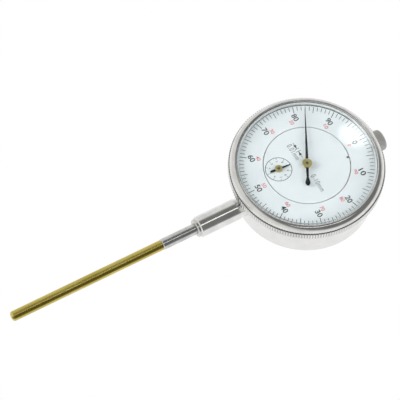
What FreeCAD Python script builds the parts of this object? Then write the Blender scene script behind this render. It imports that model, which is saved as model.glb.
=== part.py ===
import FreeCAD, Part
import math
import os
import re
import Sketcher
from FreeCAD import Placement, Rotation, Vector

# A dial gauge with a long contact rod, lying on its flat back.
# The origin is the centre of the back face. +Z is the dial's axis, and the stem points along -Y.
# All lengths are in millimetres.

document = FreeCAD.newDocument("ignition_timing_gauge")
sheet = document.addObject("Spreadsheet::Sheet", "Sizes")

SIZES = [
    # drum
    ("case_radius", 26.04, "outer radius of the drum"),
    ("case_wall", 1.8, "wall of the drum beside the movement"),
    ("case_rim_height", 16.85, "top of the drum's front rim"),
    ("foot_round", 0.4, "rounding of the drum's rear edge"),
    ("cover_thickness", 1.2, "back cover"),
    ("cover_rim_wall", 1.3, "wall left round the back cover"),
    ("boss_inset", 2.64, "distance of a boss from the drum's bore to its axis"),
    ("boss_radius", 2.8, "outer radius of a boss"),
    ("boss_turn", 45, "angle of the first boss from +X"),
    ("boss_gap", 0.27, "sideways gap between a boss and the pieces under the lower plate"),
    # screws
    ("screw_radius", 0.8, "shank of the case and movement screws"),
    ("screw_head_radius", 1.5, "head of the case and movement screws"),
    ("screw_head_height", 0.7, "head of the case and movement screws"),
    ("screw_slot", 0.4, "width and depth of a driver slot"),
    ("cover_screw_length", 4.6, "length of a back cover screw"),
    ("plate_screw_length", 3.6, "length of a movement screw below the plate's top"),
    ("small_screw_radius", 0.6, "shank of the pillar screws"),
    ("small_screw_head_radius", 1.1, "head of the pillar screws"),
    ("small_screw_head_height", 0.45, "head of the pillar screws"),
    ("small_screw_length", 2.0, "length of a pillar screw below its head"),
    # stem and spindle
    ("stem_drop", 2.52, "distance of the spindle's axis below the lower plate"),
    ("stem_radius", 4.0, "clamping diameter of 8 mm"),
    ("stem_length", 19.8, "stem outside the drum"),
    ("stem_relief", 0.2, "undercut of the stem beside the drum"),
    ("stem_shoulder_gap", 0.5, "distance of the undercut's end from the bezel"),
    ("seat_inset", 0.64, "height of the flats inside the drum wall"),
    ("seat_radius", 5.4, "radius of those flats"),
    ("stem_bore", 2.5, "bore of the stem above its bush"),
    ("stem_chamfer", 0.4, "chamfer on the stem's end"),
    ("bush_radius", 3.0, "outer radius of the lower bush"),
    ("bush_length", 8.0, "length of the lower bush inside the stem"),
    ("collar_radius", 3.45, "collar of the lower bush"),
    ("collar_length", 1.05, "collar of the lower bush"),
    ("collar_chamfer", 0.35, "chamfer on the collar"),
    ("spindle_radius", 2.1, "spindle"),
    ("spindle_fit", 0.03, "radial clearance of the spindle in its bushes"),
    ("spindle_reach", 15.16, "spindle beyond the stem's end at rest"),
    ("cap_room", 0.7, "room above the spindle at the end of its stroke"),
    ("spindle_chamfer", 0.4, "chamfer on the spindle's ends"),
    ("travel", 10.0, "stroke of the spindle"),
    ("rod_radius", 1.9, "brass contact rod"),
    ("rod_length", 61.9, "brass contact rod"),
    ("rod_tip_round", 1.0, "rounding of the rod's tip"),
    ("rod_stud_radius", 1.25, "threaded stud of the rod"),
    ("rod_stud_length", 5.0, "threaded stud of the rod"),
    ("rod_hole_spare", 0.8, "spare depth under the stud"),
    # upper bush and cap
    ("upper_bush_radius", 3.2, "upper bush, threaded in the drum wall"),
    ("upper_bush_length", 12.0, "upper bush"),
    ("cap_overlap", 2.4, "upper bush inside the cap"),
    ("cap_radius", 4.0, "cap over the spindle's top end"),
    ("cap_gap", 0.06, "gap between the cap and the drum"),
    ("cap_length", 7.1, "cap"),
    ("cap_wall", 0.9, "end wall of the cap"),
    ("cap_round", 1.1, "rounding of the cap's end"),
    # rack and gears
    ("rack_pitch", 0.625, "a tooth of the rack"),
    ("rack_gaps", 24, "gaps cut in the rack"),
    ("rack_lead", 4, "gaps on the cap side of the pinion at rest"),
    ("rack_teeth", 16, "teeth of the rack pinion"),
    ("rack_pinion_width", 3.2, "face width of the rack pinion"),
    ("gear_module", 0.193, "module of the wheels and the centre pinion"),
    ("gear_teeth", 100, "teeth of the two wheels"),
    ("centre_teeth", 10, "leaves of the centre pinion"),
    ("backlash", 0.07, "play between two teeth, measured along the pitch circle"),
    ("root_depth", 1.3, "depth below the pitch circle, in modules"),
    ("wheel_tip", 0.8, "height of a wheel tooth above the pitch circle, in modules"),
    ("pinion_tip", 0.85, "height of a pinion tooth above the pitch circle, in modules"),
    ("arbor_offset", 3.4, "sideways distance of the two wheel arbors from the stem's axis"),
    ("gear_lift", 0.6, "gap between the lower plate and the wheels"),
    ("gear_thickness", 0.6, "wheels"),
    ("gear_window_circle", 5.6, "circle through the wheel's windows"),
    ("gear_window_radius", 2.1, "windows between the wheel's spokes"),
    ("gear_windows", 5, "windows in a wheel"),
    ("centre_pinion_width", 1.3, "face width of the centre pinion"),
    ("gear_seat_radius", 0.85, "seat of a wheel on its arbor"),
    ("arbor_radius", 0.55, "arbors"),
    ("pivot_radius", 0.35, "pivots at the ends of the arbors"),
    ("pivot_fit", 0.04, "radial clearance of an arbor or pivot in its plate"),
    ("pivot_shake", 0.15, "end play of an arbor"),
    # plates
    ("plate_inset", 1.04, "gap between the lower plate and the drum"),
    ("plate_thickness", 1.0, "lower plate"),
    ("plate_gap", 2.3, "space between the two plates"),
    ("upper_plate_radius", 18.4, "upper plate"),
    ("upper_plate_thickness", 0.8, "upper plate"),
    ("notch_half_width", 3.7, "notch of the lower plate over the upper bush"),
    ("notch_clearance", 0.5, "gap between the notch and the bush's end"),
    ("pillar_across", 15.5, "sideways distance of a pillar from the dial's axis"),
    ("pillar_along", 5.0, "distance of a pillar from the dial's axis along the stem"),
    ("pillar_radius", 1.6, "pillars"),
    ("pillar_tenon_radius", 0.9, "tenon of a pillar in the lower plate"),
    # cock under the rack pinion
    ("cock_drop", 2.28, "distance of the cock's underside below the rack pinion's teeth"),
    ("cock_arm_thickness", 1.1, "arm of the cock"),
    ("cock_arm_half_width", 1.6, "arm of the cock"),
    ("cock_foot_start", 4.2, "distance from the rack pinion's axis to the cock's foot"),
    ("cock_foot_half_width", 3.4, "foot of the cock"),
    ("cock_screw_half_space", 1.8, "half the distance between the cock's screws"),
    # guide of the spindle and return spring
    ("guide_pin_radius", 0.75, "cross pin that keeps the spindle from turning"),
    ("guide_pin_along", 4.0, "place of the cross pin at rest"),
    ("guide_pin_end", 8.6, "outer end of the cross pin"),
    ("guide_rail_inner", 4.2, "inner side of the slotted rail"),
    ("guide_rail_thickness", 0.8, "slotted rail"),
    ("guide_rail_drop", 2.68, "distance of the rail's lower edge below the spindle's axis"),
    ("guide_slot_clearance", 0.05, "gap between the cross pin and the slot"),
    ("guide_slot_over_travel", 0.6, "slot length beyond the cross pin at each end"),
    ("guide_rail_margin", 2.0, "rail beyond each end of the slot"),
    ("spring_across", 7.2, "sideways distance of the return spring"),
    ("spring_post_along", 17.5, "place of the return spring's post"),
    ("spring_post_radius", 0.7, "post of the return spring"),
    ("spring_post_drop", 1.18, "distance of the post's end below the spindle's axis"),
    ("spring_coil_radius", 1.2, "middle radius of the return spring's coils"),
    ("spring_wire_radius", 0.2, "wire of the return spring"),
    ("spring_turns", 12, "coils of the return spring"),
    ("spring_eye_gap", 0.15, "gap between an eye of the spring and its pin"),
    # hairspring
    ("hairspring_inner", 1.5, "innermost coil of the hairspring"),
    ("hairspring_outer", 5.2, "outermost coil of the hairspring"),
    ("hairspring_turns", 5, "coils of the hairspring"),
    ("hairspring_strip", 0.1, "thickness of the hairspring's strip"),
    ("hairspring_width", 0.35, "width of the hairspring's strip"),
    ("hairspring_lift", 0.35, "gap between a wheel and the hairspring"),
    ("hairspring_stud_radius", 0.45, "stud that holds the hairspring's outer end"),
    # dial
    ("dial_stand", 0.3, "gap between the drum's rim and the dial ring"),
    ("dial_foot_height", 0.65, "feet under the inner dial"),
    ("dial_thickness", 0.5, "inner dial and dial ring"),
    ("inner_dial_radius", 15.95, "fixed inner dial"),
    ("dial_gap", 0.3, "gap between the inner dial and the dial ring"),
    ("dial_foot_radius", 1.0, "feet under the inner dial"),
    ("dial_foot_across", 11.0, "distance of a dial foot from the dial's axis"),
    ("main_hand_hole", 1.3, "hole for the main hand's hub"),
    ("small_hand_hole", 1.0, "hole for the small hand's hub"),
    # hands
    ("small_hand_lift", 0.3, "gap between the dial and the small hand"),
    ("small_hand_thickness", 0.15, "small hand"),
    ("small_hub_thickness", 0.35, "flange of the small hand's hub"),
    ("small_hub_radius", 1.38, "flange of the small hand's hub"),
    ("small_hub_boss", 0.75, "boss of the small hand's hub"),
    ("small_hand_tip", 4.6, "length of the small hand from its axis"),
    ("small_hand_tail", 3.4, "tail of the small hand"),
    ("small_hand_turn", 85, "angle of the small hand from +X at rest"),
    ("main_hand_lift", 1.1, "gap between the dial and the main hand"),
    ("main_hand_thickness", 0.2, "main hand"),
    ("main_hub_thickness", 0.55, "flange of the main hand's hub"),
    ("main_hub_radius", 1.82, "flange of the main hand's hub"),
    ("main_hub_boss", 1.0, "boss of the main hand's hub"),
    ("main_hand_inset", 2.4, "distance of the main hand's tip from the bezel's lip"),
    ("main_hand_tail", 9.3, "tail of the main hand"),
    ("main_hand_turn", 151.5, "angle of the main hand from +X at rest"),
    # bezel
    ("bezel_fit", 0.06, "radial clearance of the bezel on the drum"),
    ("bezel_wall", 2.9, "wall of the knurled band, from the bezel's bore"),
    ("bezel_reach", 2.65, "bezel below the drum's rim"),
    ("band_height", 2.8, "knurled band"),
    ("band_step", 0.3, "slope above the knurled band, up and in"),
    ("lip_height", 1.45, "top of the bezel above its lip's underside"),
    ("bezel_round", 1.25, "rounding of the bezel's shoulder"),
    ("crest_round", 0.5, "rounding between the bezel's top and its inner slope"),
    ("lip_overlap", 0.4, "bezel's lip over the crystal"),
    ("lip_slope_width", 1.3, "slope inside the bezel's top"),
    ("lip_slope_drop", 1.1, "slope inside the bezel's top"),
    ("knurl_depth", 0.34, "notches of the knurled band"),
    ("knurl_half_width", 0.33, "half the width of a notch"),
    ("knurl_notches", 180, "notches of the knurled band"),
    ("wire_radius", 0.4, "spring wire between the bezel and the drum"),
    ("wire_drop", 1.25, "distance of the spring wire below the drum's rim"),
    ("wire_hold", 0.36, "depth of the wire's groove in the bezel"),
    ("wire_room", 0.3, "gap between the wire and its groove in the drum"),
    ("wire_groove_half_width", 0.5, "half the width of the wire's grooves"),
    ("ring_thickness", 0.45, "radial width of the retaining ring"),
    ("ring_height", 0.4, "retaining ring"),
    ("ring_gap_turn", 77.7, "angle of the retaining ring's gap from +X"),
    ("ring_gap_half_width", 0.8, "half the width of the retaining ring's gap"),
    # crystal
    ("crystal_fit", 0.02, "radial clearance of the crystal in the bezel"),
    ("crystal_rim", 0.5, "height of the crystal's rim"),
    ("crystal_step", 0.1, "gap between the crystal's dome and the bezel's lip"),
    ("crystal_wall", 0.6, "thickness of the crystal"),
    ("crystal_stand", 1.2, "wall of the crystal above its rim"),
    ("crystal_rise", 1.3, "rise of the crystal's dome"),
]

for row, (alias, number, note) in enumerate(SIZES, start=1):
    sheet.set(f"A{row}", alias)
    sheet.set(f"B{row}", str(number))
    sheet.set(f"C{row}", note)
    sheet.setAlias(f"B{row}", alias)
document.recompute()

# Values that follow from the sizes, each from those above it.
PLACES = [
    # along the dial's axis
    ("dial_level", "case_rim_height + dial_stand + dial_thickness", "printed face of the dial"),
    ("upper_top", "dial_level - dial_thickness - dial_foot_height", "top of the upper plate"),
    ("upper_low", "upper_top - upper_plate_thickness", "underside of the upper plate"),
    ("plate_top", "upper_low - plate_gap", "top of the lower plate"),
    ("plate_level", "plate_top - plate_thickness", "underside of the lower plate"),
    ("stem_level", "plate_level - stem_drop", "spindle's axis"),
    ("rack_pinion_low", "stem_level - rack_pinion_width / 2", "lower end of the rack pinion's teeth"),
    ("cock_arm_low", "rack_pinion_low - cock_drop", "underside of the cock"),
    ("guide_rail_low", "stem_level - guide_rail_drop", "lower edge of the slotted rail"),
    ("spring_post_low", "stem_level - spring_post_drop", "lower end of the spring's post"),
    ("gear_level", "plate_top + gear_lift", "underside of the wheels"),
    ("centre_pinion_low", "gear_level + (gear_thickness - centre_pinion_width) / 2", "leaves' lower end"),
    ("hairspring_level", "gear_level + gear_thickness + hairspring_lift", "underside of the hairspring"),
    ("small_hand_level", "dial_level + small_hand_lift", "underside of the small hand"),
    ("main_hand_level", "dial_level + main_hand_lift", "underside of the main hand"),
    ("wire_level", "case_rim_height - wire_drop", "spring wire"),
    ("bezel_low", "case_rim_height - bezel_reach", "lower edge of the bezel"),
    ("band_top", "bezel_low + band_height", "upper edge of the knurled band"),
    ("crystal_low", "dial_level + ring_height", "underside of the crystal's rim"),
    ("lip_low", "crystal_low + crystal_rim", "underside of the bezel's lip"),
    ("bezel_top", "lip_low + lip_height", "top of the bezel"),
    ("crystal_edge_level", "lip_low + crystal_stand", "top of the crystal at its edge"),
    ("crystal_top", "crystal_edge_level + crystal_rise", "top of the crystal at the dial's axis"),
    # outward from the dial's axis
    ("case_bore", "case_radius - case_wall", "bore of the drum"),
    ("boss_circle", "case_bore - boss_inset", "circle through the four bosses"),
    ("boss_side", "boss_circle * cos(boss_turn) - boss_radius - boss_gap", "room between the bosses"),
    ("cock_foot_length", "boss_side - arbor_offset - cock_foot_start", "foot of the cock"),
    ("guide_rail_flange", "boss_side - guide_rail_inner", "flange of the rail, from its inner side"),
    ("plate_radius", "case_bore - plate_inset", "lower plate"),
    ("seat_flat", "case_bore - seat_inset", "flats inside the drum wall"),
    ("bezel_bore", "case_radius + bezel_fit", "bore of the bezel"),
    ("bezel_radius", "bezel_bore + bezel_wall", "knurled band"),
    ("lip_radius", "bezel_bore - lip_overlap", "inner edge of the bezel"),
    ("main_hand_tip", "lip_radius - main_hand_inset", "tip of the main hand"),
    ("stem_shoulder", "bezel_radius + stem_shoulder_gap", "upper end of the stem's clamping length"),
    ("stem_end", "case_radius + stem_length", "lower end of the stem"),
    ("spindle_end", "stem_end + spindle_reach", "lower end of the spindle at rest"),
    ("cap_start", "case_radius + cap_gap", "inner end of the cap"),
    ("cap_end", "cap_start + cap_length", "outer end of the cap"),
    ("upper_bush_end", "cap_start + cap_overlap", "outer end of the upper bush"),
    ("upper_bush_start", "upper_bush_end - upper_bush_length", "inner end of the upper bush"),
    ("spindle_top", "cap_end - cap_wall - travel - cap_room", "upper end of the spindle at rest"),
]

SOURCES = {alias: "Sizes" for alias, number, note in SIZES}
SOURCES.update({alias: "Places" for alias, text, note in PLACES})
WORD = re.compile(r"[a-z_]+")

# Formulas that several pieces share.
ARBOR_ALONG = "sqrt((gear_module * (gear_teeth + centre_teeth) / 2)^2 - arbor_offset^2)"
ARBOR_TURN = f"atan2({ARBOR_ALONG}; arbor_offset)"
RACK_MODULE = "(rack_pitch / pi)"
RACK_LINE = f"(arbor_offset - rack_teeth * {RACK_MODULE} / 2)"


def full_name(found):
    word = found[0]
    return f"{SOURCES[word]}.{word}" if word in SOURCES else word


def formula(text):
    """Point each name in a formula at its cell of the sheet or at its place."""
    return WORD.sub(full_name, text)


places = document.addObject("App::VarSet", "Places")
for alias, text, note in PLACES:
    places.addProperty("App::PropertyFloat", alias, "Places", note)
    places.setExpression(alias, formula(text))
document.recompute()


def size(alias):
    if SOURCES[alias] == "Places":
        return places.getPropertyByName(alias)
    return float(sheet.get(alias))


def bind(item, prop, text):
    item.setExpression(prop, formula(text))


def shift(item, along_x="0", along_y="0", along_z="0"):
    for axis, text in (("x", along_x), ("y", along_y), ("z", along_z)):
        if text != "0":
            bind(item, f"Placement.Base.{axis}", text)


def turn(item, angle):
    item.Placement.Rotation = Rotation(Vector(0, 0, 1), 10)
    bind(item, "Placement.Rotation.Angle", angle)


# Sketches

def new_body(name, along_x="0", along_y="0", along_z="0", angle="0"):
    body = document.addObject("PartDesign::Body", name)
    body.Label = name
    if angle != "0":
        turn(body, angle)
    shift(body, along_x, along_y, along_z)
    return body


def origin_feature(body, role):
    return [item for item in body.Origin.OriginFeatures if item.Role == role][0]


def new_sketch(body, name, plane="XY_Plane", offset="0"):
    sketch = body.newObject("Sketcher::SketchObject", name)
    sketch.AttachmentSupport = (origin_feature(body, plane), [""])
    sketch.MapMode = "FlatFace"
    if offset != "0":
        bind(sketch, "AttachmentOffset.Base.z", offset)
    return sketch


def pin_point(sketch, line, end, name, across, up):
    """Hold a point of the sketch at two formulas measured from the sketch's origin."""
    for kind, axis, text in (("DistanceX", -2, across), ("DistanceY", -1, up)):
        if text == "0":
            sketch.addConstraint(Sketcher.Constraint("PointOnObject", line, end, axis))
            continue
        constraint = sketch.addConstraint(Sketcher.Constraint(kind, -1, 1, line, end, 1.0))
        label = f"{name}_{kind[-1].lower()}"
        sketch.renameConstraint(constraint, label)
        bind(sketch, f"Constraints.{label}", text)


def outline(sketch, corners, name="p"):
    """Draw a closed outline through corners, each a pair of formulas."""
    first = sketch.GeometryCount
    count = len(corners)
    for index in range(count):
        angle = 2 * math.pi * index / count
        following = 2 * math.pi * (index + 1) / count
        sketch.addGeometry(Part.LineSegment(
            Vector(9 * math.cos(angle), 9 * math.sin(angle), 0),
            Vector(9 * math.cos(following), 9 * math.sin(following), 0)))
    for index in range(count):
        following = first + (index + 1) % count
        sketch.addConstraint(Sketcher.Constraint("Coincident", first + index, 2, following, 1))
    for index, (across, up) in enumerate(corners):
        pin_point(sketch, first + index, 1, f"{name}{index}", across, up)


def circles(sketch, rounds):
    """Draw circles, each given by formulas for its centre and radius."""
    for across, up, radius in rounds:
        index = sketch.addGeometry(Part.Circle(Vector(1, 1, 0), Vector(0, 0, 1), 1.0))
        pin_point(sketch, index, 3, f"c{index}", across, up)
        constraint = sketch.addConstraint(Sketcher.Constraint("Radius", index, 1.0))
        sketch.renameConstraint(constraint, f"c{index}_radius")
        bind(sketch, f"Constraints.c{index}_radius", radius)


# Features

def finish(body, feature):
    body.Tip = feature
    document.recompute()
    return feature


def revolve(body, sketch, axis="V_Axis"):
    feature = body.newObject("PartDesign::Revolution", f"{sketch.Name}_turned")
    feature.Profile = sketch
    feature.ReferenceAxis = (sketch, [axis])
    feature.Angle = 360
    return finish(body, feature)


def pad(body, sketch, length, reverse=False):
    feature = body.newObject("PartDesign::Pad", f"{sketch.Name}_pad")
    feature.Profile = sketch
    bind(feature, "Length", length)
    feature.Reversed = reverse
    return finish(body, feature)


def pocket(body, sketch, length, reverse=False):
    before = body.Shape.Volume
    feature = body.newObject("PartDesign::Pocket", f"{sketch.Name}_pocket")
    feature.Profile = sketch
    bind(feature, "Length", length)
    feature.Reversed = reverse
    finish(body, feature)
    if not body.Shape.Volume < before:
        raise RuntimeError(f"{feature.Name} cuts nothing")
    return feature


def polar(body, originals, count):
    feature = body.newObject("PartDesign::PolarPattern", f"{originals[0].Name}_ring")
    feature.Originals = originals
    feature.Axis = (origin_feature(body, "Z_Axis"), [""])
    feature.Angle = 360
    bind(feature, "Occurrences", count)
    return finish(body, feature)


def edges_where(shape, test):
    return [f"Edge{index}" for index, edge in enumerate(shape.Edges, start=1) if test(edge)]


def is_ring(edge, radius, centre):
    """True for a full circle of this radius about this centre."""
    curve = edge.Curve
    if not isinstance(curve, Part.Circle) or not edge.isClosed():
        return False
    return abs(curve.Radius - radius) < 1e-4 and (curve.Center - centre).Length < 1e-4


def dress(body, kind, edges, prop, amount):
    """Round or chamfer the chosen edges of the body's last feature."""
    if not edges:
        raise RuntimeError(f"{body.Name} has no such edge")
    base = body.Tip
    feature = body.newObject(f"PartDesign::{kind}", f"{body.Name}_{kind.lower()}{len(body.Group)}")
    feature.Base = (base, edges)
    bind(feature, prop, amount)
    return finish(body, feature)


def turned(name, plane, corners, along_x="0", along_y="0", along_z="0"):
    """A body turned about the vertical line of its profile's plane."""
    body = new_body(name, along_x, along_y, along_z)
    sketch = new_sketch(body, f"{name}_profile", plane)
    outline(sketch, corners)
    revolve(body, sketch)
    return body


def shape_of(name, shape):
    """A sub-part whose shape is worked out from the sheet's values."""
    item = document.addObject("Part::Feature", name)
    item.Label = name
    item.Shape = shape
    return item


def group(name, members):
    """Like pieces that lie apart and share one node."""
    item = document.addObject("Part::Compound", name)
    item.Label = name
    item.Links = members
    return item


PARTS = []


def keep(item):
    PARTS.append(item)
    return item


# Screws

def screw(name, places, head_radius, head_height, radius, length, upward=True, sunk=False):
    """Slotted screws. Each place is the formulas of the point under the head, or of a sunk head's face."""
    members = []
    side = 1 if upward else -1
    for index, (across, along, up) in enumerate(places, start=1):
        if sunk:
            head = document.addObject("Part::Cone", f"{name}_head_{index}")
            bind(head, "Radius1", head_radius if not upward else radius)
            bind(head, "Radius2", radius if not upward else head_radius)
            head_low = up if not upward else f"{up} - {head_height}"
            face = up
        else:
            head = document.addObject("Part::Cylinder", f"{name}_head_{index}")
            bind(head, "Radius", head_radius)
            head_low = up if upward else f"{up} - {head_height}"
            face = f"{up} + {side} * {head_height}"
        bind(head, "Height", head_height)
        shift(head, across, along, head_low)
        shank = document.addObject("Part::Cylinder", f"{name}_shank_{index}")
        bind(shank, "Radius", radius)
        bind(shank, "Height", length)
        shift(shank, across, along, f"{up} - {length}" if upward else up)
        slot = document.addObject("Part::Box", f"{name}_slot_{index}")
        bind(slot, "Length", f"{head_radius} * 2 + 1")
        bind(slot, "Width", "screw_slot")
        bind(slot, "Height", "screw_slot * 2")
        shift(slot, f"{across} - {head_radius} - 0.5", f"{along} - screw_slot / 2", f"{face} - screw_slot")
        blank = document.addObject("Part::Fuse", f"{name}_blank_{index}")
        blank.Base = head
        blank.Tool = shank
        cut = document.addObject("Part::Cut", f"{name}_{index}")
        cut.Base = blank
        cut.Tool = slot
        members.append(cut)
    return keep(group(name, members))


def around(count, radius, first, level):
    """Places on a circle about the dial's axis."""
    places = []
    for index in range(count):
        angle = f"({first} + {index * 360 / count:g})"
        places.append((f"{radius} * cos({angle})", f"{radius} * sin({angle})", level))
    return places


def pillar_places(level):
    places = []
    for across, along in ((1, 1), (1, -1), (-1, -1), (-1, 1)):
        places.append((f"pillar_across * {across}", f"pillar_along * {along}", level))
    return places


# Drum

def make_case():
    bore = "case_bore"
    groove = "(case_radius - wire_radius - wire_room)"
    cover = "(case_radius - cover_rim_wall)"
    body = turned("case", "XZ_Plane", [
        (cover, "0"),
        ("case_radius", "0"),
        ("case_radius", "wire_level - wire_groove_half_width"),
        (groove, "wire_level - wire_groove_half_width"),
        (groove, "wire_level + wire_groove_half_width"),
        ("case_radius", "wire_level + wire_groove_half_width"),
        ("case_radius", "case_rim_height"),
        (bore, "case_rim_height"),
        (bore, "cover_thickness"),
        (cover, "cover_thickness"),
    ])
    edge = edges_where(body.Tip.Shape, lambda item: is_ring(item, size("case_radius"), Vector(0, 0, 0)))
    dress(body, "Fillet", edge, "Radius", "foot_round")

    boss = new_sketch(body, "boss", "XY_Plane", "cover_thickness")
    circles(boss, [("boss_circle * cos(boss_turn)", "boss_circle * sin(boss_turn)", "boss_radius")])
    boss_pad = pad(body, boss, "plate_level - cover_thickness")
    polar(body, [boss_pad], "4")

    stem_side = ("stem_seat", 1, "stem_radius - stem_relief")
    cap_side = ("cap_seat", -1, "upper_bush_radius")
    for name, side, hole in (stem_side, cap_side):
        seat = new_sketch(body, name, "XZ_Plane", f"seat_flat * {side}")
        circles(seat, [("0", "stem_level", "seat_radius")])
        pad(body, seat, "(case_bore - seat_flat) + case_wall / 2", reverse=side < 0)
        opening = new_sketch(body, f"{name}_hole", "XZ_Plane")
        circles(opening, [("0", "stem_level", hole)])
        pocket(body, opening, "case_radius + 2", reverse=side > 0)

    cover_hole = new_sketch(body, "cover_screw_hole", "XY_Plane")
    spot = ("boss_circle * cos(boss_turn)", "boss_circle * sin(boss_turn)", "screw_radius")
    circles(cover_hole, [spot])
    first = pocket(body, cover_hole, "cover_screw_length + 0.4", reverse=True)
    polar(body, [first], "4")
    plate_hole = new_sketch(body, "plate_screw_hole", "XY_Plane", "plate_level")
    circles(plate_hole, [spot])
    second = pocket(body, plate_hole, "plate_screw_length - plate_thickness + 0.4")
    polar(body, [second], "4")
    return keep(body)


def make_back_cover():
    body = new_body("back_cover")
    disc = new_sketch(body, "cover_disc")
    circles(disc, [("0", "0", "case_radius - cover_rim_wall")])
    pad(body, disc, "cover_thickness")
    hole = new_sketch(body, "cover_hole")
    circles(hole, [("boss_circle * cos(boss_turn)", "boss_circle * sin(boss_turn)", "screw_radius")])
    first = pocket(body, hole, "cover_thickness + 1", reverse=True)
    polar(body, [first], "4")

    def is_hole_edge(edge):
        curve = edge.Curve
        if not isinstance(curve, Part.Circle) or abs(curve.Radius - size("screw_radius")) > 1e-4:
            return False
        return abs(curve.Center.z) < 1e-4

    edges = edges_where(body.Tip.Shape, is_hole_edge)
    dress(body, "Chamfer", edges, "Size", "screw_head_radius - screw_radius")
    keep(body)
    screw("back_cover_screws", around(4, "boss_circle", "boss_turn", "0"), "screw_head_radius",
          "(screw_head_radius - screw_radius)", "screw_radius", "cover_screw_length",
          upward=False, sunk=True)


# Stem, bushes and cap

def make_stem():
    body = turned("stem", "XY_Plane", [
        ("bush_radius", "-stem_end"),
        ("stem_radius", "-stem_end"),
        ("stem_radius", "-stem_shoulder"),
        ("stem_radius - stem_relief", "-stem_shoulder"),
        ("stem_radius - stem_relief", "-seat_flat"),
        ("stem_bore", "-seat_flat"),
        ("stem_bore", "bush_length - stem_end"),
        ("bush_radius", "bush_length - stem_end"),
    ], along_z="stem_level")
    centre = Vector(0, -size("stem_end"), 0)
    edge = edges_where(body.Tip.Shape, lambda item: is_ring(item, size("stem_radius"), centre))
    dress(body, "Chamfer", edge, "Size", "stem_chamfer")
    return keep(body)


def make_stem_bush():
    bore = "spindle_radius + spindle_fit"
    body = turned("stem_bush", "XY_Plane", [
        (bore, "-stem_end - collar_length"),
        ("collar_radius", "-stem_end - collar_length"),
        ("collar_radius", "-stem_end"),
        ("bush_radius", "-stem_end"),
        ("bush_radius", "bush_length - stem_end"),
        (bore, "bush_length - stem_end"),
    ], along_z="stem_level")
    centre = Vector(0, -size("stem_end") - size("collar_length"), 0)
    edge = edges_where(body.Tip.Shape, lambda item: is_ring(item, size("collar_radius"), centre))
    dress(body, "Chamfer", edge, "Size", "collar_chamfer")
    return keep(body)


def make_upper_bush():
    bore = "spindle_radius + spindle_fit"
    return keep(turned("upper_bush", "XY_Plane", [
        (bore, "upper_bush_start"),
        ("upper_bush_radius", "upper_bush_start"),
        ("upper_bush_radius", "upper_bush_end"),
        (bore, "upper_bush_end"),
    ], along_z="stem_level"))


def make_top_cap():
    body = turned("top_cap", "XY_Plane", [
        ("upper_bush_radius", "cap_start"),
        ("cap_radius", "cap_start"),
        ("cap_radius", "cap_end"),
        ("0", "cap_end"),
        ("0", "cap_end - cap_wall"),
        ("upper_bush_radius", "cap_end - cap_wall"),
    ], along_z="stem_level")
    centre = Vector(0, size("cap_end"), 0)
    edge = edges_where(body.Tip.Shape, lambda item: is_ring(item, size("cap_radius"), centre))
    dress(body, "Fillet", edge, "Radius", "cap_round")
    return keep(body)


# Spindle and rod

def make_spindle():
    bottom_hole = "rod_stud_length + rod_hole_spare - spindle_end"
    body = turned("spindle", "XY_Plane", [
        ("rod_stud_radius", "-spindle_end"),
        ("spindle_radius", "-spindle_end"),
        ("spindle_radius", "spindle_top"),
        ("0", "spindle_top"),
        ("0", bottom_hole),
        ("rod_stud_radius", bottom_hole),
    ], along_z="stem_level")
    radius = size("spindle_radius")
    ends = (Vector(0, -size("spindle_end"), 0), Vector(0, size("spindle_top"), 0))
    edges = edges_where(body.Tip.Shape, lambda item: any(is_ring(item, radius, end) for end in ends))
    dress(body, "Chamfer", edges, "Size", "spindle_chamfer")

    tip = f"-({RACK_LINE} + {RACK_MODULE} * wheel_tip)"
    root = f"-({RACK_LINE} - {RACK_MODULE} * root_depth)"
    outside = "-spindle_radius - 0.5"
    near = f"(rack_lead + 1) * rack_pitch - {ARBOR_ALONG}"
    far = f"(rack_lead - rack_gaps) * rack_pitch - {ARBOR_ALONG}"
    flat = new_sketch(body, "rack_flat", "XY_Plane", "-spindle_radius - 0.5")
    outline(flat, [(outside, far), (tip, far), (tip, near), (outside, near)])
    pocket(body, flat, "spindle_radius * 2 + 1", reverse=True)

    middle = f"rack_lead * rack_pitch - {ARBOR_ALONG}"
    slope = "tan(20)"
    half = "(rack_pitch + backlash) / 4"
    mouth = f"({half} + {RACK_MODULE} * wheel_tip * {slope})"
    floor = f"({half} - {RACK_MODULE} * root_depth * {slope})"
    gap = new_sketch(body, "rack_gap", "XY_Plane", "-spindle_radius - 0.5")
    outline(gap, [
        (outside, f"{middle} - {mouth}"),
        (tip, f"{middle} - {mouth}"),
        (root, f"{middle} - {floor}"),
        (root, f"{middle} + {floor}"),
        (tip, f"{middle} + {mouth}"),
        (outside, f"{middle} + {mouth}"),
    ])
    first = pocket(body, gap, "spindle_radius * 2 + 1", reverse=True)
    row = body.newObject("PartDesign::LinearPattern", "rack_row")
    row.Originals = [first]
    row.Direction = (origin_feature(body, "Y_Axis"), [""])
    row.Reversed = True
    bind(row, "Length", "rack_pitch * (rack_gaps - 1)")
    bind(row, "Occurrences", "rack_gaps")
    finish(body, row)

    cross = new_sketch(body, "cross_hole", "YZ_Plane")
    circles(cross, [("guide_pin_along", "0", "guide_pin_radius")])
    pocket(body, cross, "spindle_radius + 1", reverse=True)
    return keep(body)


def make_guide_pin():
    pin = document.addObject("Part::Cylinder", "guide_pin")
    pin.Label = "guide_pin"
    bind(pin, "Radius", "guide_pin_radius")
    bind(pin, "Height", "guide_pin_end")
    pin.Placement = Placement(Vector(0, 0, 0), Rotation(Vector(0, 1, 0), 90))
    shift(pin, along_y="guide_pin_along", along_z="stem_level")
    return keep(pin)


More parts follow.
